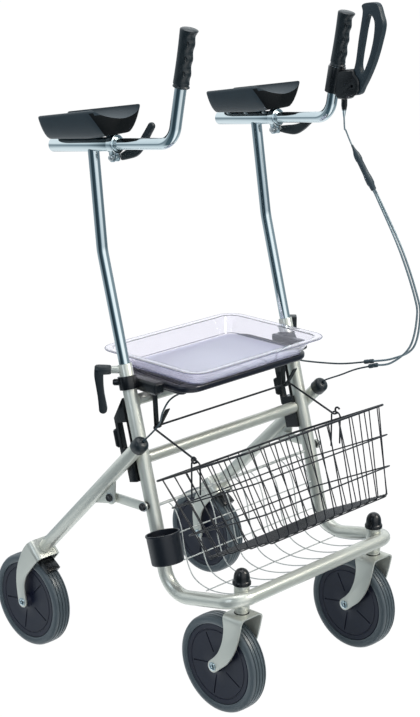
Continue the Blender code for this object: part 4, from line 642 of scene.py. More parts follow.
def finish(name, base, metallic=0.0, roughness=0.5, second=None, patch=0.03, grain=0.0008, bump=0.0,
           spread=0.0, ior=1.5, coat=0.0, transmission=0.0):
    """A finish with patches of a second colour, grain in its roughness and a fine bump.

    patch and grain are the sizes in metres of one patch and of one grain."""
    made = bpy.data.materials.new(name)
    made.use_nodes = True
    tree = made.node_tree
    shader = tree.nodes["Principled BSDF"]
    place = add_node(tree, "TexCoord").outputs["Object"]
    shader.inputs["Metallic"].default_value = metallic
    if not metallic:
        shader.inputs["IOR"].default_value = ior
    shader.inputs["Coat Weight"].default_value = coat
    shader.inputs["Coat Roughness"].default_value = 0.08
    shader.inputs["Transmission Weight"].default_value = transmission
    cloud = add_node(tree, "TexNoise", {}, {"Vector": place, "Scale": 1.0 / patch, "Detail": 3.0})
    mix = add_node(tree, "Mix", {"data_type": "RGBA"}, {0: cloud.outputs["Fac"]})
    mix.inputs[6].default_value = colour(base)
    mix.inputs[7].default_value = colour(second or base)
    tree.links.new(mix.outputs[2], shader.inputs["Base Color"])
    fine = add_node(tree, "TexNoise", {}, {"Vector": place, "Scale": 1.0 / grain, "Detail": 4.0})
    rough = add_node(tree, "MapRange", {}, {"Value": fine.outputs["Fac"], "From Min": 0.3, "From Max": 0.7,
                                            "To Min": max(0.02, roughness - spread),
                                            "To Max": roughness + spread})
    tree.links.new(rough.outputs["Result"], shader.inputs["Roughness"])
    if bump:
        raised = add_node(tree, "Bump", {}, {"Height": fine.outputs["Fac"], "Strength": 0.6,
                                             "Distance": bump})
        tree.links.new(raised.outputs["Normal"], shader.inputs["Normal"])
    return made


# Champagne metallic paint on steel tube: satin, soft broad highlights, slightly warm
CHAMPAGNE = finish("champagne_metallic_paint", "#CBCCC3", 0.6, 0.33, "#C4C7BF", 0.06, 0.0006, 0.00001,
                   0.05, coat=0.2)
# Chrome plate on steel: dark and pale bands of the room, sharp
CHROME = finish("polished_chrome_plate", "#CFD9DC", 1.0, 0.06, "#C4CFD3", 0.08, 0.001, 0.0, 0.03)
# Injection-moulded nylon, gloss black: deep black with small bright glints
BLACK = finish("gloss_black_moulded_nylon", "#07090C", 0.0, 0.26, "#0B0E12", 0.02, 0.0005, 0.00002, 0.06)
# Moulded polyurethane foam skin in dark slate: semi-matt, a little bluish, fine stipple
SLATE = finish("slate_foam_skin", "#17252D", 0.0, 0.42, "#1C2B33", 0.025, 0.0006, 0.00002, 0.06)
# Painted shade for the pads' noses: the slate skin made darker and duller, with a low IOR, to look shaded
PAINTED_NOSE_SHADE = finish("pad_nose_painted_shade", "#04080A", 0.0, 0.6, "#060A0D", 0.025, 0.0006, 0.00002, 0.05, 1.25)
# Moulded soft rubber, near black: dull with faint pale glints on its edges
RUBBER = finish("black_moulded_rubber", "#10191E", 0.0, 0.34, "#141E23", 0.018, 0.0004, 0.00003, 0.06)
# Moulded polypropylene in navy: dull sheen, faint mould flow
NAVY = finish("navy_moulded_polypropylene", "#0A0F22", 0.0, 0.4, "#0F152B", 0.035, 0.0007, 0.00002, 0.07)
# Moulded seat board, glossy blue-black
SEAT = finish("blue_black_moulded_seat", "#0C0E18", 0.0, 0.3, "#131625", 0.05, 0.0006, 0.00002, 0.06)
# Cast polyurethane tyre in grey: dusty with a soft sheen on its ribs
TYRE = finish("grey_cast_polyurethane", "#4A5358", 0.0, 0.33, "#434D52", 0.02, 0.0006, 0.00004, 0.08)
# Powder-coated wire in blue-black: semi-gloss orange peel
WIRE = finish("black_powder_coated_wire", "#0A0D14", 0.0, 0.32, "#10131D", 0.015, 0.0008, 0.00002, 0.06)
# Zinc-plated steel: bright grey, slightly uneven
ZINC = finish("zinc_plated_steel", "#CBCFD0", 0.85, 0.3, "#B4BABC", 0.012, 0.0008, 0.00001, 0.08)
# Wires of the rack in pale grey powder coat: light, satin
RACK = finish("pale_grey_powder_coated_wire", "#C6CAC8", 0.25, 0.36, "#BCC1BF", 0.015, 0.0008,
              0.00001, 0.06)
# Moulded cup in a blue black: satin with one soft highlight
CUP = finish("blue_black_moulded_cup", "#0B1019", 0.0, 0.38, "#10151F", 0.03, 0.0006, 0.00002, 0.05)
# Grey vinyl cable sheath with a soft gloss
SHEATH = finish("grey_vinyl_cable_sheath", "#73838A", 0.35, 0.34, "#67777E", 0.01, 0.0005, 0.00001, 0.05)
# Rubber cable boots, dark slate
BOOT = finish("slate_rubber_boot", "#25343C", 0.0, 0.45, "#2B3A42", 0.008, 0.0004, 0.00003, 0.06)
# Clear polycarbonate with a breath of violet: nearly invisible walls, clear reflections
CLEAR = finish("clear_polycarbonate", "#F5F4FD", 0.0, 0.05, "#F3F2FC", 0.1, 0.002, 0.0, 0.02, 1.45,
               0.0, 0.92)
# The tray's floor, paler, milkier and more violet than its walls: a painted reflection of the pale room
FLOOR_PAINTED_REFLECTION = finish("tray_floor_painted_reflection", "#DDDEF0", 0.0, 0.16, "#D9DAEE", 0.08, 0.0015, 0.0, 0.03,
               1.45, 0.0, 0.55)
# The same sheet seen through its thickness, along its cut edges: darker violet
TINT = finish("polycarbonate_cut_edge", "#6E7290", 0.0, 0.2, "#7A7E9B", 0.05, 0.001, 0.0, 0.04, 1.45,
              0.0, 0.3)

# The studio as polished metal reflects it: bands around, from behind the part round past the camera
# at the middle, and layers from the floor up. Each stop is a place from 0 to 1 and a colour.
BAND_STOPS = ((0.0, "#E4E9EC"), (0.194, "#E0E6E9"), (0.268, "#C6D0D5"), (0.312, "#4C5E67"),
              (0.45, "#42545D"), (0.492, "#8496A0"), (0.53, "#F4F8FA"), (0.66, "#FFFFFF"),
              (0.69, "#8B999F"), (0.8, "#7F8D94"), (0.89, "#E0E6E9"), (1.0, "#E4E9EC"))
LAYER_STOPS = ((0.0, "#FFFFFF"), (0.225, "#F4F4F4"), (0.34, "#B4BBBF"), (0.44, "#848E94"),
               (0.5, "#C8CED2"), (0.56, "#FFFFFF"), (0.8, "#F4F6F7"), (1.0, "#E0E4E7"))


def build_frame():
    """The bent front tube with its crossbar, head tubes and clamp bosses."""
    corners = [upright(1, UPRIGHT_TOP_Z), upright(1, LOOP_Z), (FRAME_HALF_WIDTH, FRONT_BAR_Y, FRONT_BAR_Z),
               (-FRAME_HALF_WIDTH, FRONT_BAR_Y, FRONT_BAR_Z), upright(-1, LOOP_Z), upright(-1, UPRIGHT_TOP_Z)]
    bends = (LOOP_BEND, FRONT_BEND, FRONT_BEND, LOOP_BEND)
    made = tube("frame_tube", corners, bends, TUBE_RADIUS, 40, radians(4.0))
    for side in SIDES:
        hollow(made, upright(side, UPRIGHT_TOP_Z), UPRIGHT_UP, 0.0022, 0.05)
    placed(bevelled(made, 0.0008, 2), "frame", CHAMPAGNE, "front_frame")
    middle = (0.0, *upright(1, UPPER_BAR_Z).yz)
    cross = bar("crossbar", middle, FRAME_HALF_WIDTH - 0.003, CROSSBAR_RADIUS)
    placed(smooth(cross), "frame", CHAMPAGNE)
    for side in SIDES:
        weld(side)
        head_tube(side)
        clamp_boss(side)


def weld(side):
    """The bead between the crossbar and an upright."""
    bead = upright(side, UPPER_BAR_Z) - X * side * 0.0128
    profile = [(0.01, -0.0016), (0.0122, -0.0016), (0.0136, 0.0006), (0.0136, 0.003), (0.01, 0.003)]
    turned("weld_" + SIDES[side], profile, bead, X * side, 32, 60.0, "frame", CHAMPAGNE)


def head_tube(side):
    """The upright tube that a caster's stem turns in, with a turned-in lower edge."""
    profile = [(0.0, HEAD_TUBE_BOTTOM_Z), (0.0132, HEAD_TUBE_BOTTOM_Z), (0.0132, 0.2262), (0.0145, 0.2275),
               (0.015, 0.229), (0.015, HEAD_TUBE_TOP_Z), (0.0, HEAD_TUBE_TOP_Z)]
    turned("head_tube_" + SIDES[side], profile, (side * STEM_HALF_SPACING, STEM_Y, 0.0), Z, 40, 35.0,
           "frame", CHAMPAGNE)


def clamp_boss(side):
    """The boss that a post clamp's screw goes through."""
    profile = [(0.0, 0.0), (0.0075, 0.0), (0.0075, 0.0275), (0.0, 0.0275)]
    made = spun("clamp_boss_" + SIDES[side], profile, upright(side, CLAMP_SCREW_Z), diagonal(side), 28)
    placed(bevelled(made, 0.0008, 2), "frame", CHAMPAGNE)


def build_posts():
    """The chrome posts, the sleeves on top of them with their clamps, and the pads' screws."""
    for side in SIDES:
        post_tube(side)
        sleeve_tube(side)
        clamp(side)
        pad_screws(side)


def post_tube(side):
    """A post, from inside its upright to the sleeve's underside."""
    label = SIDES[side]
    top = arm_point(side)
    corners = (upright(side, POST_BOTTOM_Z), upright(side, POST_BEND_Z), top)
    made = tube("post_tube_" + label, corners, (POST_BEND,), POST_RADIUS, 36, radians(2.0))
    half = arm_axes(side)[0] * 0.05
    saddle = tube("saddle", (top - half, top + half), (), SLEEVE_RADIUS - 0.0004)
    placed(smooth(cut(made, saddle)), "post_" + label, CHROME, "post_" + label)


def sleeve_tube(side):
    """The sleeve that a handle slides in, open at both ends."""
    label = SIDES[side]
    bore = HANDLE_RADIUS + 0.0003
    profile = [(bore, -SLEEVE_REAR), (SLEEVE_RADIUS, -SLEEVE_REAR), (SLEEVE_RADIUS, SLEEVE_FRONT),
               (bore, SLEEVE_FRONT)]
    made = spun("sleeve_tube_" + label, profile, arm_point(side), arm_axes(side)[0], 40)
    placed(bevelled(made, 0.0006, 2), "post_" + label, CHROME, "arm_sleeve_" + label)


def clamp(side):
    """The band round a sleeve with its two lugs and the bolt through them."""
    label = SIDES[side]
    way, beside, above = arm_axes(side)
    rim = 0.0182
    profile = [(0.0132, -0.008), (rim - 0.001, -0.008), (rim, -0.007), (rim, 0.007),
               (rim - 0.001, 0.008), (0.0132, 0.008)]
    band = spun("clamp_band_" + label, profile, arm_point(side, CLAMP_FORWARD), way, 40)
    placed(bevelled(band, 0.0005, 2), "post_" + label, CHROME)
    for share, end in ((-1, "inner"), (1, "outer")):
        place = arm_point(side, CLAMP_FORWARD, -0.002 + share * 0.006, -CLAMP_DROP + 0.0025)
        lug = plate("clamp_lug_%s_%s" % (label, end), rounded_rectangle(0.007, 0.011, 0.0045), place,
                    way, above, 0.0035)
        placed(bevelled(lug, 0.0007, 2), "post_" + label, CHROME)
    profile = [(0.0, -0.0175), (0.003, -0.0175), (0.0052, -0.0163), (0.0058, -0.014), (0.0058, -0.012),
               (0.003, -0.012), (0.003, 0.0235), (0.0, 0.0235)]
    place = arm_point(side, CLAMP_FORWARD, 0.0, -CLAMP_DROP)
    turned("clamp_bolt_" + label, profile, place, beside, 24, 35.0, "post_" + label, ZINC)


def pad_screws(side):
    """The three screws between a sleeve and its forearm pad."""
    label = SIDES[side]
    beside, above = arm_axes(side)[1:]
    profile = [(0.0, 0.0), (0.004, 0.0), (0.0048, 0.0012), (0.0048, 0.0022), (0.003, 0.0038), (0.0, 0.0042)]
    for index, forward in enumerate((-0.072, -0.02, 0.034)):
        place = arm_point(side, forward, -side * 0.0075, 0.0128)
        turned("pad_screw_%s_%d" % (label, index), profile, place, -beside * side + above * 0.4, 20,
               35.0, "post_" + label, ZINC)


def build_handles():
    """The bent handle tubes with their grooved grips."""
    for side in SIDES:
        handle_bar(side)
        grip(side)


def handle_bar(side):
    """A handle tube, forwards in its sleeve and up to the grip."""
    label = SIDES[side]
    rear = arm_point(side, -HANDLE_REAR)
    corner = handle_corner(side)
    made = tube("handle_bar_" + label, (rear, corner, corner + handle_up(side) * HANDLE_HEIGHT),
                (HANDLE_BEND,), HANDLE_RADIUS, 36, radians(3.0))
    hollow(made, rear, -arm_axes(side)[0], 0.002, 0.04)
    placed(smooth(made), "handle_" + label, CHROME, "handle_tube_" + label)


def grip_front(side):
    """The way a grip's finger waves face: forwards and square to the grip."""
    up = handle_up(side)
    return (Y * -1.0 - up * up.dot(Y * -1.0)).normalized()


def grip_ring(side, share):
    """A grip's outline at a share of its length, waved in front for four fingers."""
    up, front = handle_up(side), grip_front(side)
    body = 0.0155 - 0.001 * sin(pi * share)
    edge = min(share, 1 - share) * GRIP_LENGTH
    if edge < GRIP_EDGE:
        body -= GRIP_EDGE - sqrt(max(0.0, GRIP_EDGE ** 2 - (GRIP_EDGE - edge) ** 2))
    wave = 0.0034 * (0.5 + 0.5 * cos(2 * pi * 4 * share)) - 0.0018
    lip = 0.004 * max(0.0, share * 8 - 7)
    band = 0.0012 if 0.035 < share < 0.06 else 0.0
    middle = handle_corner(side) + up * (GRIP_START + GRIP_LENGTH * share)
    ring = []
    for point in around(Vector(), *square_axes(up), 1.0, 40):
        ahead = max(0.0, point.dot(front)) ** 2
        ring.append(middle + point * (body - band + (wave + lip) * ahead))
    return ring


def grip(side):
    """A rubber grip with slanted slits between the finger waves."""
    label = SIDES[side]
    up, front = handle_up(side), grip_front(side)
    across = up.cross(front)
    rings = [grip_ring(side, index / GRIP_RINGS) for index in range(GRIP_RINGS + 1)]
    made = smooth(lofted("rubber_grip_" + label, rings), 55.0)
    slant = (up * 0.86 - front * 0.5).normalized()
    profile = [(0.0, -0.007), (0.0018, -0.005), (0.0026, 0.0), (0.0018, 0.005), (0.0, 0.007)]
    for share in (0.27, 0.52, 0.77):
        for sign in (1, -1):
            place = handle_corner(side) + up * (GRIP_START + GRIP_LENGTH * share)
            place += (front * 0.8 + across * sign * 0.6) * 0.0152
            cut(made, spun("slit", profile, place, slant, 14))
    placed(smooth(made, 50.0), "handle_" + label, RUBBER, "grip_" + label)


def pad_ring(side, share, pull=0.0):
    """A level outline of a forearm pad, 0 at its underside and 1 at its rim.

    The front corner towards -X is cut off slantwise, most of all at the rim."""
    wide = 0.0265 + (0.045 - 0.0265) * sqrt(1 - (1 - share) ** 2.2) - pull
    rear = -0.093 - 0.011 * share + pull
    ahead = 0.0765 + 0.0215 * share ** 0.9 - pull
    nose, heel = 0.011, 0.012
    cut_back, cut_in = 0.01 + 0.05 * share ** 1.4, 0.012 + 0.056 * share
    outline = arc((ahead - nose, wide - nose), nose, 0.0, pi / 2, 10)
    outline += [(ahead - nose + (rear + heel - ahead + nose) * step / 9, wide) for step in range(1, 9)]
    outline += arc((rear + heel, wide - heel), heel, pi / 2, pi, 8)
    outline += arc((rear + heel, heel - wide), heel, pi, 1.5 * pi, 8)
    outline += [(rear + heel + (ahead - cut_back - rear - heel) * step / 9, -wide) for step in range(1, 9)]
    for step in range(17):
        turn = pi / 2 * step / 16
        outline.append((ahead - cut_back + cut_back * sin(turn) ** 1.45,
                        -wide + cut_in * (1 - max(0.0, cos(turn)) ** 1.45)))
    points = []
    for a, b in outline:
        low = 0.0138 + max(0.0, (a - 0.03) * 0.12)
        high = PAD_RIM + a * PAD_RISE
        points.append(arm_point(side, a, b, low + (high - low) * share))
    return points


def trough(side):
    """The round hollow that is cut out of a forearm pad, deeper towards its nose."""
    rings = []
    for step in range(19):
        forward = -0.125 + 0.25 * step / 18
        sink = 0.0165 + 0.007 * max(0.0, (forward - 0.01) / 0.0875) ** 2
        ring = []
        for part in range(29):
            turn = pi * part / 28
            up = TROUGH_RIM + forward * PAD_RISE - sink * sin(turn) ** 0.8
            ring.append(arm_point(side, forward, TROUGH_HALF_WIDTH * cos(turn), up))
        for share in (-1, 1):
            ring.append(arm_point(side, forward, share * TROUGH_HALF_WIDTH, 0.11))
        rings.append(ring)
    return lofted("trough", rings)


def build_pads():
    """The moulded forearm pads: a boat-shaped body with a round trough and a nose in painted shade."""
    levels = [(0.0, 0.003), (0.004, 0.0016), (0.014, 0.0006), (0.03, 0.0)]
    levels += [(share, 0.0) for share in (0.12, 0.24, 0.38, 0.52, 0.66, 0.8, 0.9)]
    levels += [(0.95, 0.0003), (0.98, 0.0011), (1.0, 0.0028)]
    for side in SIDES:
        label = SIDES[side]
        made = lofted("forearm_pad_" + label, [pad_ring(side, *level) for level in levels])
        cut(made, trough(side))
        bevelled(made, 0.0022, 4, 42.0)
        placed(smooth(made, 55.0), "post_" + label, SLATE, "arm_pad_" + label)
        # Painted shade: faces on the nose that face forwards, not up, get the dark second finish
        made.data.materials.append(PAINTED_NOSE_SHADE)
        way, _, above = arm_axes(side)
        for face in made.data.polygons:
            reach = (face.center - arm_point(side)).dot(way)
            if reach > 0.01 and face.normal.dot(way) > 0.2 and face.normal.dot(above) < 0.35:
                face.material_index = 1


def build_brake():
    """The brake lever, its housing and the ferrule."""
    middle = handle_corner(1).x
    outline = smooth_line(from_corner(LEVER_OUTLINE), 5, True)
    window = smooth_line(from_corner(LEVER_WINDOW), 5, True)
    lever = side_plate("lever_loop", outline, middle - 0.007, 0.014)
    cut(lever, side_plate("window", window, middle - 0.02, 0.04))
    placed(bevelled(lever, 0.003, 4), "brake_lever", SLATE, "brake_lever")
    placed(softened("brake_housing", 0.0016, 3), "handle_left", BLACK, "brake_housing")
    profile = [(0.0014, -0.029), (0.002, -0.029), (0.0028, -0.024), (0.004, -0.016), (0.0046, -0.015),
               (0.0046, -0.009), (0.0, -0.009), (0.0, -0.029)]
    turned("cable_ferrule", profile, ferrule_place(), Z, 28, 35.0, "handle_left", CHROME)


def build_levers():
    """The screw levers on the frame and the quick levers under the sleeves."""
    for side in SIDES:
        post_lever(side)
        quick_lever(side)


def post_lever(side):
    """A post clamp's lever: a turned hub with a blade that hangs down."""
    label = SIDES[side]
    centre = upright(side, CLAMP_SCREW_Z)
    way = diagonal(side)
    level = Vector((-way.y, way.x, 0.0)) * side
    profile = [(0.0, 0.0283), (0.0082, 0.0283), (0.0094, 0.031), (0.01, 0.04), (0.0104, 0.052),
               (0.0098, 0.057), (0.0076, 0.06), (0.0, 0.0606)]
    made = smooth(spun("lever_hub_" + label, profile, centre, way, 36))
    line = ((0.0515, 0.003), (0.0522, -0.012), (0.0508, -0.032), (0.0485, -0.052), (0.0462, -0.07),
            (0.0452, -0.0795))
    outline = ribbon(line, (0.018, 0.0172, 0.0146, 0.0136, 0.0152, 0.016))
    blade = bevelled(plate("blade", outline, centre - level * 0.0085, way, Z, 0.017), 0.005, 5)
    placed(smooth(joined(made, blade)), "post_lever_" + label, RUBBER, "post_lever_" + label)


def quick_lever(side):
    """A sleeve clamp's flat quick lever; the two stand at different angles, as in the photograph."""
    label = SIDES[side]
    forward, _, above = arm_axes(side)
    turn = QUICK_LEVER_TURN[side]
    along = forward * cos(turn) + above * sin(turn)
    square = above * cos(turn) - forward * sin(turn)
    line = ((-0.005, 0.0), (0.012, -0.0045), (0.034, -0.0095), (0.056, -0.008), (0.078, -0.001),
            (0.099, 0.006))
    outline = ribbon(line, (0.013, 0.0175, 0.0205, 0.017, 0.015, 0.014))
    place = arm_point(side, CLAMP_FORWARD, 0.0222, -CLAMP_DROP)
    made = plate("quick_blade_" + label, outline, place, along, square, 0.009)
    placed(bevelled(made, 0.0036, 4), "quick_lever_" + label, RUBBER, "quick_lever_" + label)


def fork(name, middle, crown, down, line, widths):
    """A pressed fork: a U channel with rounded bends, trimmed to the arms' outline."""
    wide = FORK_HALF_GAP + FORK_PLATE
    outer_bend, inner_bend = 0.012, 0.0085
    outer = [(-wide, FORK_BLANK)] + arc((-wide + outer_bend, outer_bend), outer_bend, pi, 1.5 * pi, 10)
    outer += arc((wide - outer_bend, outer_bend), outer_bend, 1.5 * pi, 2 * pi, 10)
    outer += [(wide, FORK_BLANK)]
    centre_a = FORK_HALF_GAP - inner_bend
    centre_b = FORK_PLATE + inner_bend
    inner = [(FORK_HALF_GAP, FORK_BLANK)]
    inner += arc((centre_a, centre_b), inner_bend, 1.5 * pi, 2 * pi, 8)[::-1]
    inner += arc((-centre_a, centre_b), inner_bend, pi, 1.5 * pi, 8)[::-1]
    inner += [(-FORK_HALF_GAP, FORK_BLANK)]
    low = Vector(crown) - X.cross(down) * (FORK_BLANK / 2)
    channel = plate(name, outer + inner, low, X, down, FORK_BLANK)
    trim = side_plate("trim", ribbon(line, widths), middle - 0.05, 0.1)
    return bevelled(combined(channel, trim, "INTERSECT"), 0.0012, 3, 40.0)


def build_forks():
    """The caster forks, the rear forks and the axles in them."""
    for side in SIDES:
        caster_fork(side)
        rear_fork(side)
        axle_bolt(side, "front", "caster_", STEM_HALF_SPACING)
        axle_bolt(side, "rear", "leg_", REAR_HALF_TRACK)


def caster_fork(side):
    """A caster's fork, trailing from its stem to the axle, with a collar on its crown."""
    label = SIDES[side]
    middle = side * STEM_HALF_SPACING
    top, axle = CROWN_TOP_Z + 0.002, AXLE_Y["front"]
    line = ((STEM_Y - 0.0025, top), (STEM_Y - 0.002, top - 0.014), (STEM_Y - 0.0005, top - 0.036),
            (STEM_Y + 0.0065, top - 0.066), (axle - 0.028, WHEEL_RADIUS + 0.0285),
            (axle - 0.0135, WHEEL_RADIUS + 0.0125), (axle, WHEEL_RADIUS))
    made = fork("caster_fork_" + label, middle, (middle, STEM_Y, CROWN_TOP_Z), -Z, line,
                (0.05, 0.0475, 0.04, 0.035, 0.03, 0.026, 0.025))
    placed(made, "caster_" + label, CHAMPAGNE, "front_fork_" + label)
    profile = [(0.0, -0.0005), (0.015, -0.0005), (0.015, 0.0002), (0.0135, 0.0006), (0.0, 0.0006)]
    turned("stem_collar_" + label, profile, (middle, STEM_Y, CROWN_TOP_Z), Z, 36, 35.0,
           "caster_" + label, BLACK)


def rear_fork(side):
    """A rear wheel's fork, bent down from the leg's foot to the axle."""
    label = SIDES[side]
    foot = leg_point(side, -0.0015)
    axle = AXLE_Y["rear"]
    line = ((foot.y - 0.004, foot.z + 0.004), (foot.y + 0.0105, foot.z - 0.0105),
            (foot.y + 0.0235, foot.z - 0.0275), (foot.y + 0.0405, foot.z - 0.0565),
            (axle + 0.0045, WHEEL_RADIUS + 0.044), (axle + 0.0035, WHEEL_RADIUS + 0.02),
            (axle, WHEEL_RADIUS))
    made = fork("rear_wheel_fork_" + label, side * REAR_HALF_TRACK, leg_point(side), LEG_DOWN, line,
                (0.044, 0.0435, 0.041, 0.032, 0.0255, 0.024, 0.025))
    placed(made, "leg_" + label, CHAMPAGNE, "rear_fork_" + label)


def axle_bolt(side, end, carrier, spacing):
    """An axle with the washer and the nut that hold it outside each fork plate."""
    label = SIDES[side]
    reach = FORK_HALF_GAP + FORK_PLATE
    half = [(0.0, 0.0026), (0.0032, 0.0026), (0.0038, 0.0046), (0.007, 0.0034), (0.0072, 0.0014),
            (0.0088, 0.0012), (0.0088, 0.0), (0.005, 0.0)]
    profile = both_ways([(radius, -reach - past) for radius, past in half])
    turned("axle_bolt_%s_%s" % (end, label), profile, (side * spacing, AXLE_Y[end], WHEEL_RADIUS), X, 32,
           30.0, carrier + label, CHROME, "axle_%s_%s" % (end, label))


def tyre(centre):
    """A tyre with two grooves on each side of its crown."""
    half = [(0.082, 0.016), (0.0826, 0.0176), (0.0846, 0.0189), (0.088, 0.0197), (0.0915, 0.0197),
            (0.0946, 0.0189), (0.0968, 0.0176), (0.0981, 0.0158), (0.0988, 0.0142)]
    for groove in (0.0118, 0.004):
        crown = WHEEL_RADIUS - groove * groove * 4.2
        half += [(crown, groove + 0.0013), (crown - 0.0017, groove + 0.0008),
                 (crown - 0.0017, groove - 0.0008), (crown, groove - 0.0013)]
    half += [(WHEEL_RADIUS, 0.0012)]
    return smooth(spun("tyre", both_ways(half), centre, X, 96), 32.0)


def hub(centre):
    """A disc hub with a ring groove and five slots on each face."""
    half = [(0.0053, 0.025), (0.0122, 0.025), (0.0135, 0.024), (0.015, 0.017), (0.022, 0.0152),
            (0.045, 0.016), (0.069, 0.0166), (0.0698, 0.0154), (0.0716, 0.0154), (0.0724, 0.0168),
            (0.08, 0.0172), (0.0818, 0.0162)]
    made = spun("hub", both_ways(half), centre, X, 96)
    for spoke in range(5):
        turn = Matrix.Rotation(2 * pi * spoke / 5 + 0.77, 3, "X")
        for sign in (1, -1):
            low = centre + turn @ Vector((sign * 0.0142, 0.0, 0.045))
            cut(made, plate("groove", rounded_rectangle(0.0013, 0.021, 0.0012), low, turn @ Y, turn @ Z,
                            sign * 0.01))
    return smooth(made, 30.0)


def build_wheels():
    """Tyres on navy hubs, made once and copied to the four places."""
    centre = Z * WHEEL_RADIUS
    sources = ((tyre(centre), "tyre_ring_", TYRE, "tyre_"), (hub(centre), "hub_disc_", NAVY, "hub_"))
    for side in SIDES:
        for end, spacing in (("front", STEM_HALF_SPACING), ("rear", REAR_HALF_TRACK)):
            label = "%s_%s" % (end, SIDES[side])
            for source, name, material, node in sources:
                twin = copied(source, name + label)
                twin.data.transform(Matrix.Translation(Vector((side * spacing, AXLE_Y[end], 0.0))))
                placed(twin, end + "_wheel_" + SIDES[side], material, node + label)
    for source in sources:
        bpy.data.objects.remove(source[0], do_unlink=True)


def build_caps():
    """Dome caps over the caster stems and ball caps on the rear legs' tops."""
    for side in SIDES:
        stem_dome(side)
        leg_ball(side)


def stem_dome(side):
    """A dome cap with ten notches round its skirt."""
    label = SIDES[side]
    profile = [(0.0, 0.0), (0.0165, 0.0), (0.018, 0.0012), (0.0181, 0.006), (0.0172, 0.008),
               (0.016, 0.0092), (0.0159, 0.012), (0.0156, 0.016), (0.0146, 0.0215), (0.0126, 0.0262),
               (0.0096, 0.0297), (0.006, 0.0318), (0.0, 0.0325)]
    seat = Vector((side * STEM_HALF_SPACING, STEM_Y, HEAD_TUBE_TOP_Z))
    made = spun("stem_dome_" + label, profile, seat, Z, 48)
    notch = [(0.0, -0.006), (0.0022, -0.006), (0.0022, 0.0035), (0.0, 0.0035)]
    for step in range(10):
        turn = 2 * pi * step / 10
        place = seat + Vector((cos(turn), sin(turn), 0.0)) * 0.0196 + Z * 0.0035
        cut(made, spun("notch", notch, place, Z, 12))
    placed(smooth(made, 40.0), "frame", BLACK, "dome_cap_" + label)


def leg_ball(side):
    """The ball cap on a rear leg's top, with the hole that a brake cable goes into."""
    label = SIDES[side]
    profile = [(0.0143, 0.0003), (0.0143, -0.014), (BALL_RADIUS - 0.0008, -0.014), (BALL_RADIUS, -0.013),
               (BALL_RADIUS, -0.001)]
    for step in range(10):
        turn = pi / 2 * step / 10
        profile.append((0.0058 + (BALL_RADIUS - 0.0058) * cos(turn), 0.001 + BALL_RADIUS * sin(turn) * 0.62))
    profile += [(0.0032, 0.001 + BALL_RADIUS * 0.62), (0.003, 0.006), (0.0, 0.006), (0.0, 0.0003)]
    turned("leg_ball_" + label, profile, leg_point(side, LEG_LENGTH), -LEG_DOWN, 48, 40.0,
           "leg_" + label, RUBBER, "leg_cap_" + label)


def build_fold():
    """The rear legs, the links, the sliding blocks and the carriage bar."""
    for side in SIDES:
        leg_tube(side)
        link(side)
        slide_block(side)
    middle = (0.0, upright(1, CARRIAGE_Z).y + 0.0085, CARRIAGE_Z)
    placed(smooth(bar("carriage_tube", middle, 0.215, 0.0123, 36)), "carriage", CHAMPAGNE, "carriage_bar")


def leg_tube(side):
    """A rear leg with the gusset that carries its link."""
    label = SIDES[side]
    ends = (leg_point(side, 0.0003), leg_point(side, LEG_LENGTH))
    leg = tube("leg_tube_" + label, ends, (), TUBE_RADIUS, 40)
    outline = ([(GUSSET_UP - 0.058, 0.007)]
               + arc((GUSSET_UP, GUSSET_OFF), 0.014, radians(155), radians(25), 14)
               + [(GUSSET_UP + 0.044, 0.007)])
    origin = leg_point(side)
    origin.x = GUSSET_INNER_X if side > 0 else -GUSSET_INNER_X - LINK_PLATE
    gusset = plate("gusset_" + label, outline, origin, -LEG_DOWN, LEG_UNDER, LINK_PLATE)
    placed(bevelled(leg, 0.0006, 2), "leg_" + label, CHAMPAGNE, "rear_leg_" + label)
    placed(bevelled(gusset, 0.0006, 2), "leg_" + label, CHAMPAGNE)


def link(side):
    """The flat link from an upright to a leg's gusset, with its two bolts and its spacer."""
    label = SIDES[side]
    eye = leg_point(side, GUSSET_UP, GUSSET_OFF)
    foot = upright(side, LINK_FOOT_Z)
    flat = side_plate("link_bar_" + label, stadium((foot.y, foot.z), (eye.y, eye.z), 0.0095),
                      LINK_INNER_X if side > 0 else -LINK_INNER_X - LINK_PLATE, LINK_PLATE)
    placed(bevelled(flat, 0.0007, 2), "link_" + label, CHAMPAGNE, "link_" + label)
    bolt("gusset_bolt_", side, eye, GUSSET_INNER_X + 0.0038, "leg_" + label)
    bolt("foot_bolt_", side, foot, LINK_INNER_X + 0.0042, "frame", "link_pin_" + label)
    profile = [(0.0, 0.0), (0.0085, 0.0), (0.0085, 0.005), (0.0, 0.005)]
    spacer = spun("foot_spacer_" + label, profile, (side * (FRAME_HALF_WIDTH + 0.0143), foot.y, foot.z),
                  X * side, 32)
    placed(bevelled(spacer, 0.0005, 2), "frame", BLACK)


def bolt(name, side, place, at, body, *nodes):
    """A washer and a domed cap on a pivot's outer side."""
    start = Vector((side * at, place.y, place.z))
    profile = [(0.0, 0.0), (0.01, 0.0), (0.01, 0.0008), (0.0088, 0.0012), (0.0, 0.0012)]
    turned(name + "washer_" + SIDES[side], profile, start, X * side, 36, 30.0, body, ZINC)
    profile = [(0.0, 0.0008), (0.0078, 0.0008), (0.0082, 0.002), (0.0078, 0.0046), (0.0058, 0.0064),
               (0.003, 0.006), (0.0, 0.0056)]
    turned(name + "cap_" + SIDES[side], profile, start, X * side, 36, 40.0, body, BLACK, *nodes)


def slide_block(side):
    """The block that slides on an upright, with its front flange trimmed off."""
    label = SIDES[side]
    block = softened("slide_block_" + label, 0.0012, 3)
    flange = [(-0.03, -0.04), (0.03, -0.04), (0.03, 0.002), (-0.03, 0.002)]
    cut(block, plate("flange", flange, upright(side, 0.42), X, UPRIGHT_BACK, 0.11))
    placed(smooth(block), "carriage", BLACK, "slide_block_" + label)


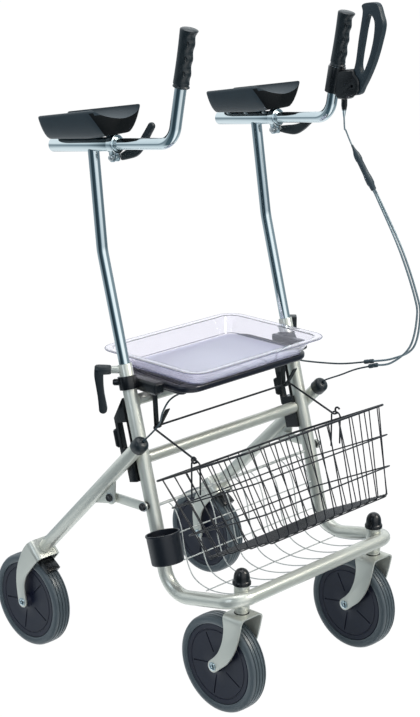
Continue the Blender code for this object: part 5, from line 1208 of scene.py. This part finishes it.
def build_seat():
    """The seat board with slots along its sides, its rails and hooks, and the brackets that carry it."""
    outline = rounded_rectangle(SEAT_HALF_WIDTH, SEAT_HALF_DEPTH, 0.04, 10, (0.0, SEAT_CENTRE_Y))
    made = bevelled(plate("seat_board", outline, Z * (SEAT_TOP_Z - 0.015), X, Y, 0.015), 0.006, 5)
    for side in SIDES:
        for index in range(SEAT_SLOTS):
            place = (side * 0.1675, -0.106 + 0.0085 * index)
            cut(made, plate("slot", rounded_rectangle(0.007, 0.0024, 0.0018, 3, place),
                            Z * (SEAT_TOP_Z - 0.0016), X, Y, 0.01))
    placed(smooth(made), "frame", SEAT, "seat_panel")
    for side in SIDES:
        seat_rail(side)
        bail_hook(side)
        seat_bracket(side)


def seat_rail(side):
    """The rail under the seat board's side."""
    outline = rounded_rectangle(0.0125, 0.086, 0.012, 8, (side * 0.164, -0.03))
    rail = plate("seat_rail_" + SIDES[side], outline, Z * (SEAT_TOP_Z - 0.0205), X, Y, 0.013)
    placed(bevelled(rail, 0.006, 4), "frame", SEAT)


def bail_hook(side):
    """The strip hook that the basket's bail hangs in, from the rail down, round the wire and up."""
    turn = BAIL_WIRE + 0.0006 + 0.0011
    start = atan2(UPRIGHT_BACK.z, UPRIGHT_BACK.y)
    bend = arc((HOOK_Y, HOOK_Z), turn, start, start - radians(165), 10)
    line = [(bend[0][0] + 0.0045, 0.61)] + bend + [(HOOK_Y - 0.028, 0.577)]
    left, right = [], []
    for index, (a, b) in enumerate(line):
        before, after = line[max(index - 1, 0)], line[min(index + 1, len(line) - 1)]
        along = Vector((after[0] - before[0], after[1] - before[1])).normalized()
        square = Vector((-along.y, along.x)) * 0.0012
        left.append((a + square.x, b + square.y))
        right.append((a - square.x, b - square.y))
    hook = side_plate("bail_hook_" + SIDES[side], left + right[::-1], side * 0.185 - 0.006, 0.012)
    placed(bevelled(hook, 0.0005, 2), "frame", BLACK)


def seat_bracket(side):
    """A bracket from its upright to the seat, with three ribs round its collar."""
    label = SIDES[side]
    placed(softened("seat_bracket_" + label, 0.0014, 3), "frame", BLACK, "seat_bracket_" + label)
    profile = [(0.015, -0.0016), (0.018, -0.0016), (0.0186, 0.0), (0.018, 0.0016), (0.015, 0.0016)]
    for index in range(3):
        place = upright(side, COLLAR_BOTTOM_Z) + UPRIGHT_UP * (0.0045 + 0.0085 * index)
        turned("collar_rib_%s_%d" % (label, index), profile, place, UPRIGHT_UP, 40, 40.0, "frame", BLACK)


def tray_ring(half_x, half_y, radius, z):
    """A level outline of the tray."""
    outline = rounded_rectangle(half_x, half_y, radius, 10, (0.0, TRAY_CENTRE_Y))
    return [Vector((x, y, z)) for x, y in outline]


def build_tray():
    """The clear tray: up its outside, over its lip and down its inside, with darker cut edges."""
    floor_z = SEAT_TOP_Z + 0.0003
    top_z = floor_z + 0.0355
    floor_half = (0.157, 0.105)
    wall_half = (0.176, 0.124)
    levels = [(floor_half, -0.003, floor_z), (floor_half, -0.0008, floor_z + 0.0008),
              (floor_half, 0.0, floor_z + 0.003), (wall_half, 0.0, top_z - 0.003),
              (wall_half, 0.001, top_z - 0.0022), (wall_half, 0.012, top_z - 0.0018),
              (wall_half, 0.016, top_z - 0.0014), (wall_half, 0.0166, top_z - 0.0009),
              (wall_half, 0.016, top_z - 0.0004), (wall_half, 0.012, top_z - 0.0002),
              (wall_half, 0.0005, top_z - 0.0004), (wall_half, -0.0016, top_z - 0.0012),
              (wall_half, -0.0024, top_z - 0.003), (floor_half, -0.0022, floor_z + 0.0055),
              (floor_half, -0.004, floor_z + 0.003), (floor_half, -0.006, floor_z + 0.0023)]
    rings = [tray_ring(half_x + grow, half_y + grow, 0.024 + grow, z) for (half_x, half_y), grow, z in levels]
    tray = placed(smooth(lofted("clear_tray", rings), 30.0), "tray", CLEAR, "tray")
    tray.data.materials.append(FLOOR_PAINTED_REFLECTION)
    # Painted reflection: the floor's level faces get the paler, milkier second finish
    for face in tray.data.polygons:
        if abs(face.normal.z) > 0.9 and face.center.z < floor_z + 0.005:
            face.material_index = 1
    rims = [tray_ring(0.1928, 0.1408, 0.04, top_z - 0.0009),
            tray_ring(0.1574, 0.1054, 0.024, floor_z + 0.0034)]
    placed(wires("tray_edges", rims, 0.0007, 6, True), "tray", TINT)


def basket_ring(level, outset):
    """A ring wire of the basket at a level from its rim, in the basket's tilted frame."""
    share = -level / BASKET_HEIGHT
    half_x = BASKET_HALF_WIDTH + (BASKET_FLOOR_HALF_WIDTH - BASKET_HALF_WIDTH) * share + outset
    rear = BASKET_NARROWING * share - outset
    front = BASKET_TOP - BASKET_NARROWING * share + outset
    flat = rounded_rectangle(half_x, (front - rear) / 2, 0.012, 6, (0.0, (front + rear) / 2))
    return [basket_point(a, b, level) for a, b in flat]


def basket_lines():
    """The wires that run down one side, along the floor and up the other side."""
    lines = []
    rear, front = BASKET_NARROWING, BASKET_TOP - BASKET_NARROWING
    for index in range(LONG_WIRES):
        share = -1 + 2 * (index + 0.5) / LONG_WIRES
        top_x, low_x = share * (BASKET_HALF_WIDTH - 0.004), share * (BASKET_FLOOR_HALF_WIDTH - 0.004)
        corners = (basket_point(top_x, BASKET_TOP, 0.0), basket_point(low_x, front, -BASKET_HEIGHT),
                   basket_point(low_x, rear, -BASKET_HEIGHT), basket_point(top_x, 0.0, 0.0))
        lines.append(rounded_path(corners, (0.01, 0.01)))
    under = -BASKET_HEIGHT - 0.0026
    for index in range(CROSS_WIRES):
        share = (index + 0.5) / CROSS_WIRES
        top, low = 0.004 + share * (BASKET_TOP - 0.008), rear + share * BASKET_BOTTOM
        corners = (basket_point(BASKET_HALF_WIDTH, top, 0.0),
                   basket_point(BASKET_FLOOR_HALF_WIDTH, low, under),
                   basket_point(-BASKET_FLOOR_HALF_WIDTH, low, under),
                   basket_point(-BASKET_HALF_WIDTH, top, 0.0))
        lines.append(rounded_path(corners, (0.01, 0.01)))
    return lines


def build_basket():
    """The wire basket: rim, rings, side wires, a close floor and the loops for its bail."""
    placed(wires("basket_rim", [basket_ring(0.0, 0.0)], 0.0024, 10, True), "basket", WIRE, "basket")
    rings = [basket_ring(-BASKET_HEIGHT * share, 0.003) for share in (0.34, 0.69)]
    placed(wires("basket_rings", rings, 0.0015, 8, True), "basket", WIRE)
    placed(wires("basket_wires", basket_lines(), 0.0013, 8), "basket", WIRE)
    floor = []
    half, level = BASKET_FLOOR_HALF_WIDTH - 0.004, -BASKET_HEIGHT + 0.0018
    for index in range(FLOOR_WIRES):
        forward = BASKET_NARROWING + 0.004 + (BASKET_BOTTOM - 0.008) * (index + 0.5) / FLOOR_WIRES
        floor.append([basket_point(-half, forward, level), basket_point(half, forward, level)])
    placed(wires("basket_floor", floor, 0.0011, 6), "basket", WIRE)
    loops = []
    for side in SIDES:
        x = side * BASKET_HALF_WIDTH
        ends = [BAIL_Y - 0.0115, BAIL_Y + 0.0115]
        feet = [BASKET_REAR_Z + (BASKET_REAR_Y - y) * tan(BASKET_TILT) - 0.055 for y in ends]
        corners = ((x, ends[0], feet[0]), (x, ends[0], 0.50005), (x, ends[1], 0.50005), (x, ends[1], feet[1]))
        loops.append(rounded_path(corners, (0.0095, 0.0095)))
    placed(wires("basket_loops", loops, 0.0017, 8), "basket", WIRE)


def build_bail():
    """The basket's bail: one bent wire from loop to loop over the hooks, with an eye at each end."""
    corners = []
    for side in SIDES:
        half = [(side * 0.21, BAIL_Y, BAIL_Z), (side * 0.1995, BAIL_Y, BAIL_Z),
                (side * 0.1995, HOOK_Y, HOOK_Z)]
        corners += half if side > 0 else half[::-1]
    bail = [rounded_path(corners, (0.0035, 0.008, 0.008, 0.0035))]
    for side in SIDES:
        turns = [pi * 1.35 * step / 12 for step in range(13)]
        bail.append([Vector((side * 0.21, BAIL_Y + 0.006 * sin(turn), BAIL_Z + 0.006 * (1 - cos(turn))))
                     for turn in turns])
    placed(wires("bail_wire", bail, BAIL_WIRE, 10), "bail", WIRE, "bail")


def build_rack():
    """The wire rack below the basket: a rod between the uprights, nine wires and their ties."""
    rod = bar("rack_rod", (0.0, RACK_ROD_Y, RACK_ROD_Z), FRAME_HALF_WIDTH - TUBE_RADIUS, 0.003, 20)
    placed(smooth(rod), "frame", RACK, "lower_rack")
    lines = []
    for index in range(9):
        x = -0.188 + 0.376 * index / 8
        past = max(0.0, abs(x) - (FRAME_HALF_WIDTH - 0.046))
        back = FRONT_BAR_Y + TUBE_RADIUS - 0.003 + past * 0.5
        points = ((-0.0905, 0.3862), (-0.101, 0.38), (-0.113, 0.368), (-0.125, 0.34), (-0.136, 0.288),
                  (-0.158, 0.248), (-0.2, 0.235), (-0.25, 0.241), (back, 0.259))
        lines.append([Vector((x, *p)) for p in smooth_line(points, 5)])
    placed(wires("rack_wires", lines, 0.0012, 8), "frame", RACK)
    ties = []
    for y, z in ((-0.1265, 0.335), (-0.138, 0.28), (-0.1985, 0.2328)):
        ties.append([Vector((-0.194, y, z)), Vector((0.194, y, z))])
    placed(wires("rack_ties", ties, 0.0013, 8), "frame", RACK)


def build_cup():
    """The cup clipped to the right upright."""
    beside = upright(-1, CUP_RIM_Z)
    rim = Vector((-FRAME_HALF_WIDTH - CUP_OUT, beside.y, CUP_RIM_Z)) - UPRIGHT_BACK * CUP_FORWARD
    profile = [(0.0, -0.06), (0.03, -0.06), (0.0316, -0.0588), (0.0322, -0.0565), (0.033, -0.006),
               (0.034, -0.004), (0.0346, -0.002), (0.034, -0.0002), (0.032, 0.0), (0.0308, -0.001),
               (0.03, -0.0555), (0.0284, -0.0572), (0.0, -0.0575)]
    turned("cup_shell", profile, rim, UPRIGHT_UP, 64, 40.0, "frame", CUP, "cup_holder")
    clip_top = upright(-1, 0.338)
    clip = tube("cup_clip", (clip_top - UPRIGHT_UP * 0.042, clip_top), (), TUBE_RADIUS + 0.0036, 40)
    web_top = clip_top + (rim - beside) * 0.4 - UPRIGHT_UP * 0.002
    joined(clip, tube("web", (web_top - UPRIGHT_UP * 0.038, web_top), (), 0.0085, 28))
    placed(bevelled(clip, 0.0012, 3), "frame", CUP)


def build_shoes():
    """The brake shoes over the rear wheels."""
    for label in SIDES.values():
        shoe = "brake_shoe_" + label
        placed(softened(shoe, 0.001, 2), shoe, BLACK, shoe)


def build_cables():
    """The cable from the brake lever to the splitter, and one on to each rear leg."""
    upper_cable()
    splitter()
    lower_cable(1, LEFT_ROUTE, -1)
    lower_cable(-1, RIGHT_ROUTE, 1)


def upper_cable():
    """The cable above the splitter, in two parts, from the brake on the handle down past the post to the
    frame.
    """
    start, way = ferrule_place() - Z * 0.0163, splitter_way()
    top = SPLITTER_TOP
    line = smooth_line((start, start - Z * 0.012, start - Z * 0.03 + (top - start) * 0.08,
                        top - way * 0.034 + Z * 0.004, top - way * 0.014, top), CURVE_PARTS)
    half = len(line) // 2
    blended(wires("cable_upper_a", [line[:half + 1]], UPPER_CABLE, 10), SHEATH,
            ("handle_left", line[0]), ("post_left", line[half]), "cable_upper")
    blended(wires("cable_upper_b", [line[half:]], UPPER_CABLE, 10), SHEATH,
            ("post_left", line[half]), ("frame", line[-1]))


def splitter():
    """The boot in which one cable becomes two."""
    length = (SPLITTER_END - SPLITTER_TOP).length
    profile = [(0.0, -0.006), (0.0022, -0.006), (0.0028, 0.001), (0.0044, 0.008), (0.0062, 0.013),
               (0.0072, 0.02), (0.0072, 0.026), (0.0062, 0.03), (0.0066, length * 0.62),
               (0.0078, length * 0.72), (0.0078, length * 0.84), (0.0062, length - 0.01),
               (0.0056, length - 0.001), (0.0, length)]
    turned("splitter_boot", profile, SPLITTER_TOP, splitter_way(), 32, 50.0, "frame", BOOT,
           "cable_splitter")


def lower_cable(side, route, sign):
    """A cable from the splitter to a rear leg's cap, with a clip where it meets the frame.

    From the clip on it is a bare boot, in parts that run down past the carriage to the leg."""
    label = SIDES[side]
    way = splitter_way()
    first = SPLITTER_END - way * 0.001 + square_axes(way)[0] * 0.0026 * sign
    cap = leg_point(side, LEG_LENGTH + 0.001 + 0.0165 * 0.6)
    line = smooth_line([first, first + way * 0.022, *route, cap - LEG_DOWN * 0.01, cap],
                       CURVE_PARTS)
    last = len(line) - 1
    clip, low = (2 + CLIP_POINT) * CURVE_PARTS, last - 2 * CURVE_PARTS
    slack = clip if side > 0 else last - 5 * CURVE_PARTS
    sheath = wires("cable_%s_sheath" % label, [line[:clip + 1]], SHEATH_RADIUS, 10)
    placed(sheath, "frame", SHEATH, "cable_" + label)
    if slack > clip:
        under = wires("cable_%s_under_seat" % label, [line[clip:slack + 1]], BARE_CABLE, 10)
        placed(under, "frame", BOOT)
    blended(wires("cable_%s_drop" % label, [line[slack:low + 1]], BARE_CABLE, 10), BOOT,
            ("frame", line[slack]), ("carriage", line[low]))
    blended(wires("cable_%s_end" % label, [line[low:]], CABLE_END, 10), BOOT,
            ("carriage", line[low]), ("leg_" + label, line[-1]))
    ahead = (Vector(route[CLIP_POINT + 1]) - Vector(route[CLIP_POINT - 1])).normalized()
    half = [(0.0, -0.012), (0.0034, -0.012), (0.0046, -0.0104), (0.0046, -0.002), (0.0038, -0.001)]
    turned("cable_clip_" + label, both_ways(half), route[CLIP_POINT], ahead, 24, 40.0, "frame", BOOT)


def build_floor():
    """A white paper floor: pure white to the camera, clear to reflections, plain paper to the light."""
    bpy.ops.object.select_all(action="DESELECT")
    bpy.ops.mesh.primitive_plane_add(size=80.0, location=(0.0, 0.0, -0.0005))
    floor = bpy.context.object
    floor.name = "studio_floor"
    made = bpy.data.materials.new("white_paper_floor")
    made.use_nodes = True
    tree = made.node_tree
    tree.nodes.remove(tree.nodes["Principled BSDF"])
    paper = add_node(tree, "BsdfDiffuse", {}, {"Color": colour("#F4F4F4")})
    white = add_node(tree, "Emission", {}, {"Color": WHITE, "Strength": 1.03})
    clear = add_node(tree, "BsdfTransparent")
    seen = add_node(tree, "LightPath")
    share = add_node(tree, "Math", {"operation": "MULTIPLY"}, {0: seen.outputs["Is Camera Ray"], 1: 0.97})
    either = add_node(tree, "Math", {"operation": "MAXIMUM"},
                      {0: share.outputs[0], 1: seen.outputs["Is Transmission Ray"]})
    lit = add_node(tree, "MixShader", {}, {0: either.outputs[0], 1: paper.outputs[0], 2: white.outputs[0]})
    mix = add_node(tree, "MixShader", {}, {0: seen.outputs["Is Glossy Ray"], 1: lit.outputs[0],
                                           2: clear.outputs[0]})
    tree.links.new(mix.outputs[0], tree.nodes["Material Output"].inputs["Surface"])
    floor.data.materials.append(made)


def ramp(tree, share, stops):
    """A colour ramp along a share from 0 to 1."""
    made = add_node(tree, "ValToRGB", {}, {"Fac": share})
    elements = made.color_ramp.elements
    elements[0].color = colour(stops[0][1])
    elements[1].color = colour(stops[-1][1])
    for place, code in stops[1:-1]:
        elements.new(place).color = colour(code)
    return made.outputs["Color"]


def build_room():
    """A soft pale room for the light and a banded one for reflections, white to the camera."""
    world = bpy.data.worlds.new("studio")
    bpy.context.scene.world = world
    world.use_nodes = True
    tree = world.node_tree
    for old in list(tree.nodes):
        tree.nodes.remove(old)
    seen = add_node(tree, "LightPath")
    either = add_node(tree, "Math", {"operation": "MAXIMUM"},
                      {0: seen.outputs["Is Camera Ray"], 1: seen.outputs["Is Transmission Ray"]})
    outwards = add_node(tree, "TexCoord").outputs["Generated"]
    rotated = add_node(tree, "VectorRotate", {"rotation_type": "Z_AXIS"},
                       {"Vector": outwards, "Angle": pi / 2 + CAMERA_YAW})
    parts = add_node(tree, "SeparateXYZ", {}, {0: rotated.outputs[0]})
    azimuth = add_node(tree, "Math", {"operation": "ARCTAN2"}, {0: parts.outputs["Y"], 1: parts.outputs["X"]})
    across = add_node(tree, "MapRange", {}, {"Value": azimuth.outputs[0], "From Min": -pi, "From Max": pi})
    height = add_node(tree, "MapRange", {}, {"Value": parts.outputs["Z"], "From Min": -1.0, "From Max": 1.0})
    room = add_node(tree, "Mix", {"data_type": "RGBA", "blend_type": "MULTIPLY"}, {0: 1.0})
    tree.links.new(ramp(tree, across.outputs["Result"], BAND_STOPS), room.inputs[6])
    tree.links.new(ramp(tree, height.outputs["Result"], LAYER_STOPS), room.inputs[7])
    shine = add_node(tree, "Background", {}, {"Color": room.outputs[2], "Strength": 1.45})
    soft = add_node(tree, "Background", {}, {"Color": colour("#D6DCE2"), "Strength": 0.9})
    white = add_node(tree, "Background", {}, {"Color": WHITE, "Strength": 1.0})
    first = add_node(tree, "MixShader", {}, {0: seen.outputs["Is Glossy Ray"], 1: soft.outputs[0],
                                             2: shine.outputs[0]})
    mix = add_node(tree, "MixShader", {}, {0: either.outputs[0], 1: first.outputs[0], 2: white.outputs[0]})
    out = add_node(tree, "OutputWorld")
    tree.links.new(mix.outputs[0], out.inputs["Surface"])


def build_lamps():
    """Three soft lamps: name, place, size in metres, power in watts and tint."""
    for name, place, size, power, tint in (
            ("key", (1.8, -3.2, 3.4), (1.8, 1.8), 125.0, "#FFF9EF"),
            ("side", (-4.0, -0.4, 2.4), (1.4, 2.4), 26.0, "#EAF3FF"),
            ("top", (0.0, 0.0, 4.2), (2.8, 2.8), 60.0, "#FFFFFF")):
        bpy.ops.object.light_add(type="AREA", location=place)
        light = bpy.context.object
        light.name = name
        light.data.shape = "RECTANGLE"
        light.data.size, light.data.size_y = size
        light.data.energy = power
        light.data.color = colour(tint)[:3]
        aim = Vector((0.0, 0.0, 0.6)) - Vector(place)
        light.rotation_mode = "QUATERNION"
        light.rotation_quaternion = aim.to_track_quat("-Z", "Y")


def build_camera():
    """The camera solved from the photograph."""
    bpy.ops.object.camera_add(location=CAMERA_PLACE)
    camera = bpy.context.object
    level = cos(CAMERA_PITCH)
    way = Vector((sin(CAMERA_YAW) * level, cos(CAMERA_YAW) * level, -sin(CAMERA_PITCH)))
    camera.rotation_mode = "QUATERNION"
    roll = Matrix.Rotation(CAMERA_ROLL, 3, "Z").to_quaternion()
    camera.rotation_quaternion = way.to_track_quat("-Z", "Y") @ roll
    camera.data.sensor_width = SENSOR
    camera.data.lens = FOCAL_PIXELS / PHOTO_HEIGHT * SENSOR
    camera.data.clip_start, camera.data.clip_end = 0.05, 60.0
    bpy.context.scene.camera = camera


build_camera()
build_floor()
build_room()
build_lamps()
build_frame()
build_posts()
build_handles()
build_pads()
build_brake()
build_levers()
build_forks()
build_wheels()
build_caps()
build_fold()
build_seat()
build_tray()
build_basket()
build_bail()
build_rack()
build_cup()
build_shoes()
build_cables()

scene = bpy.context.scene
scene.view_settings.view_transform = "Standard"
bpy.context.view_layer.update()
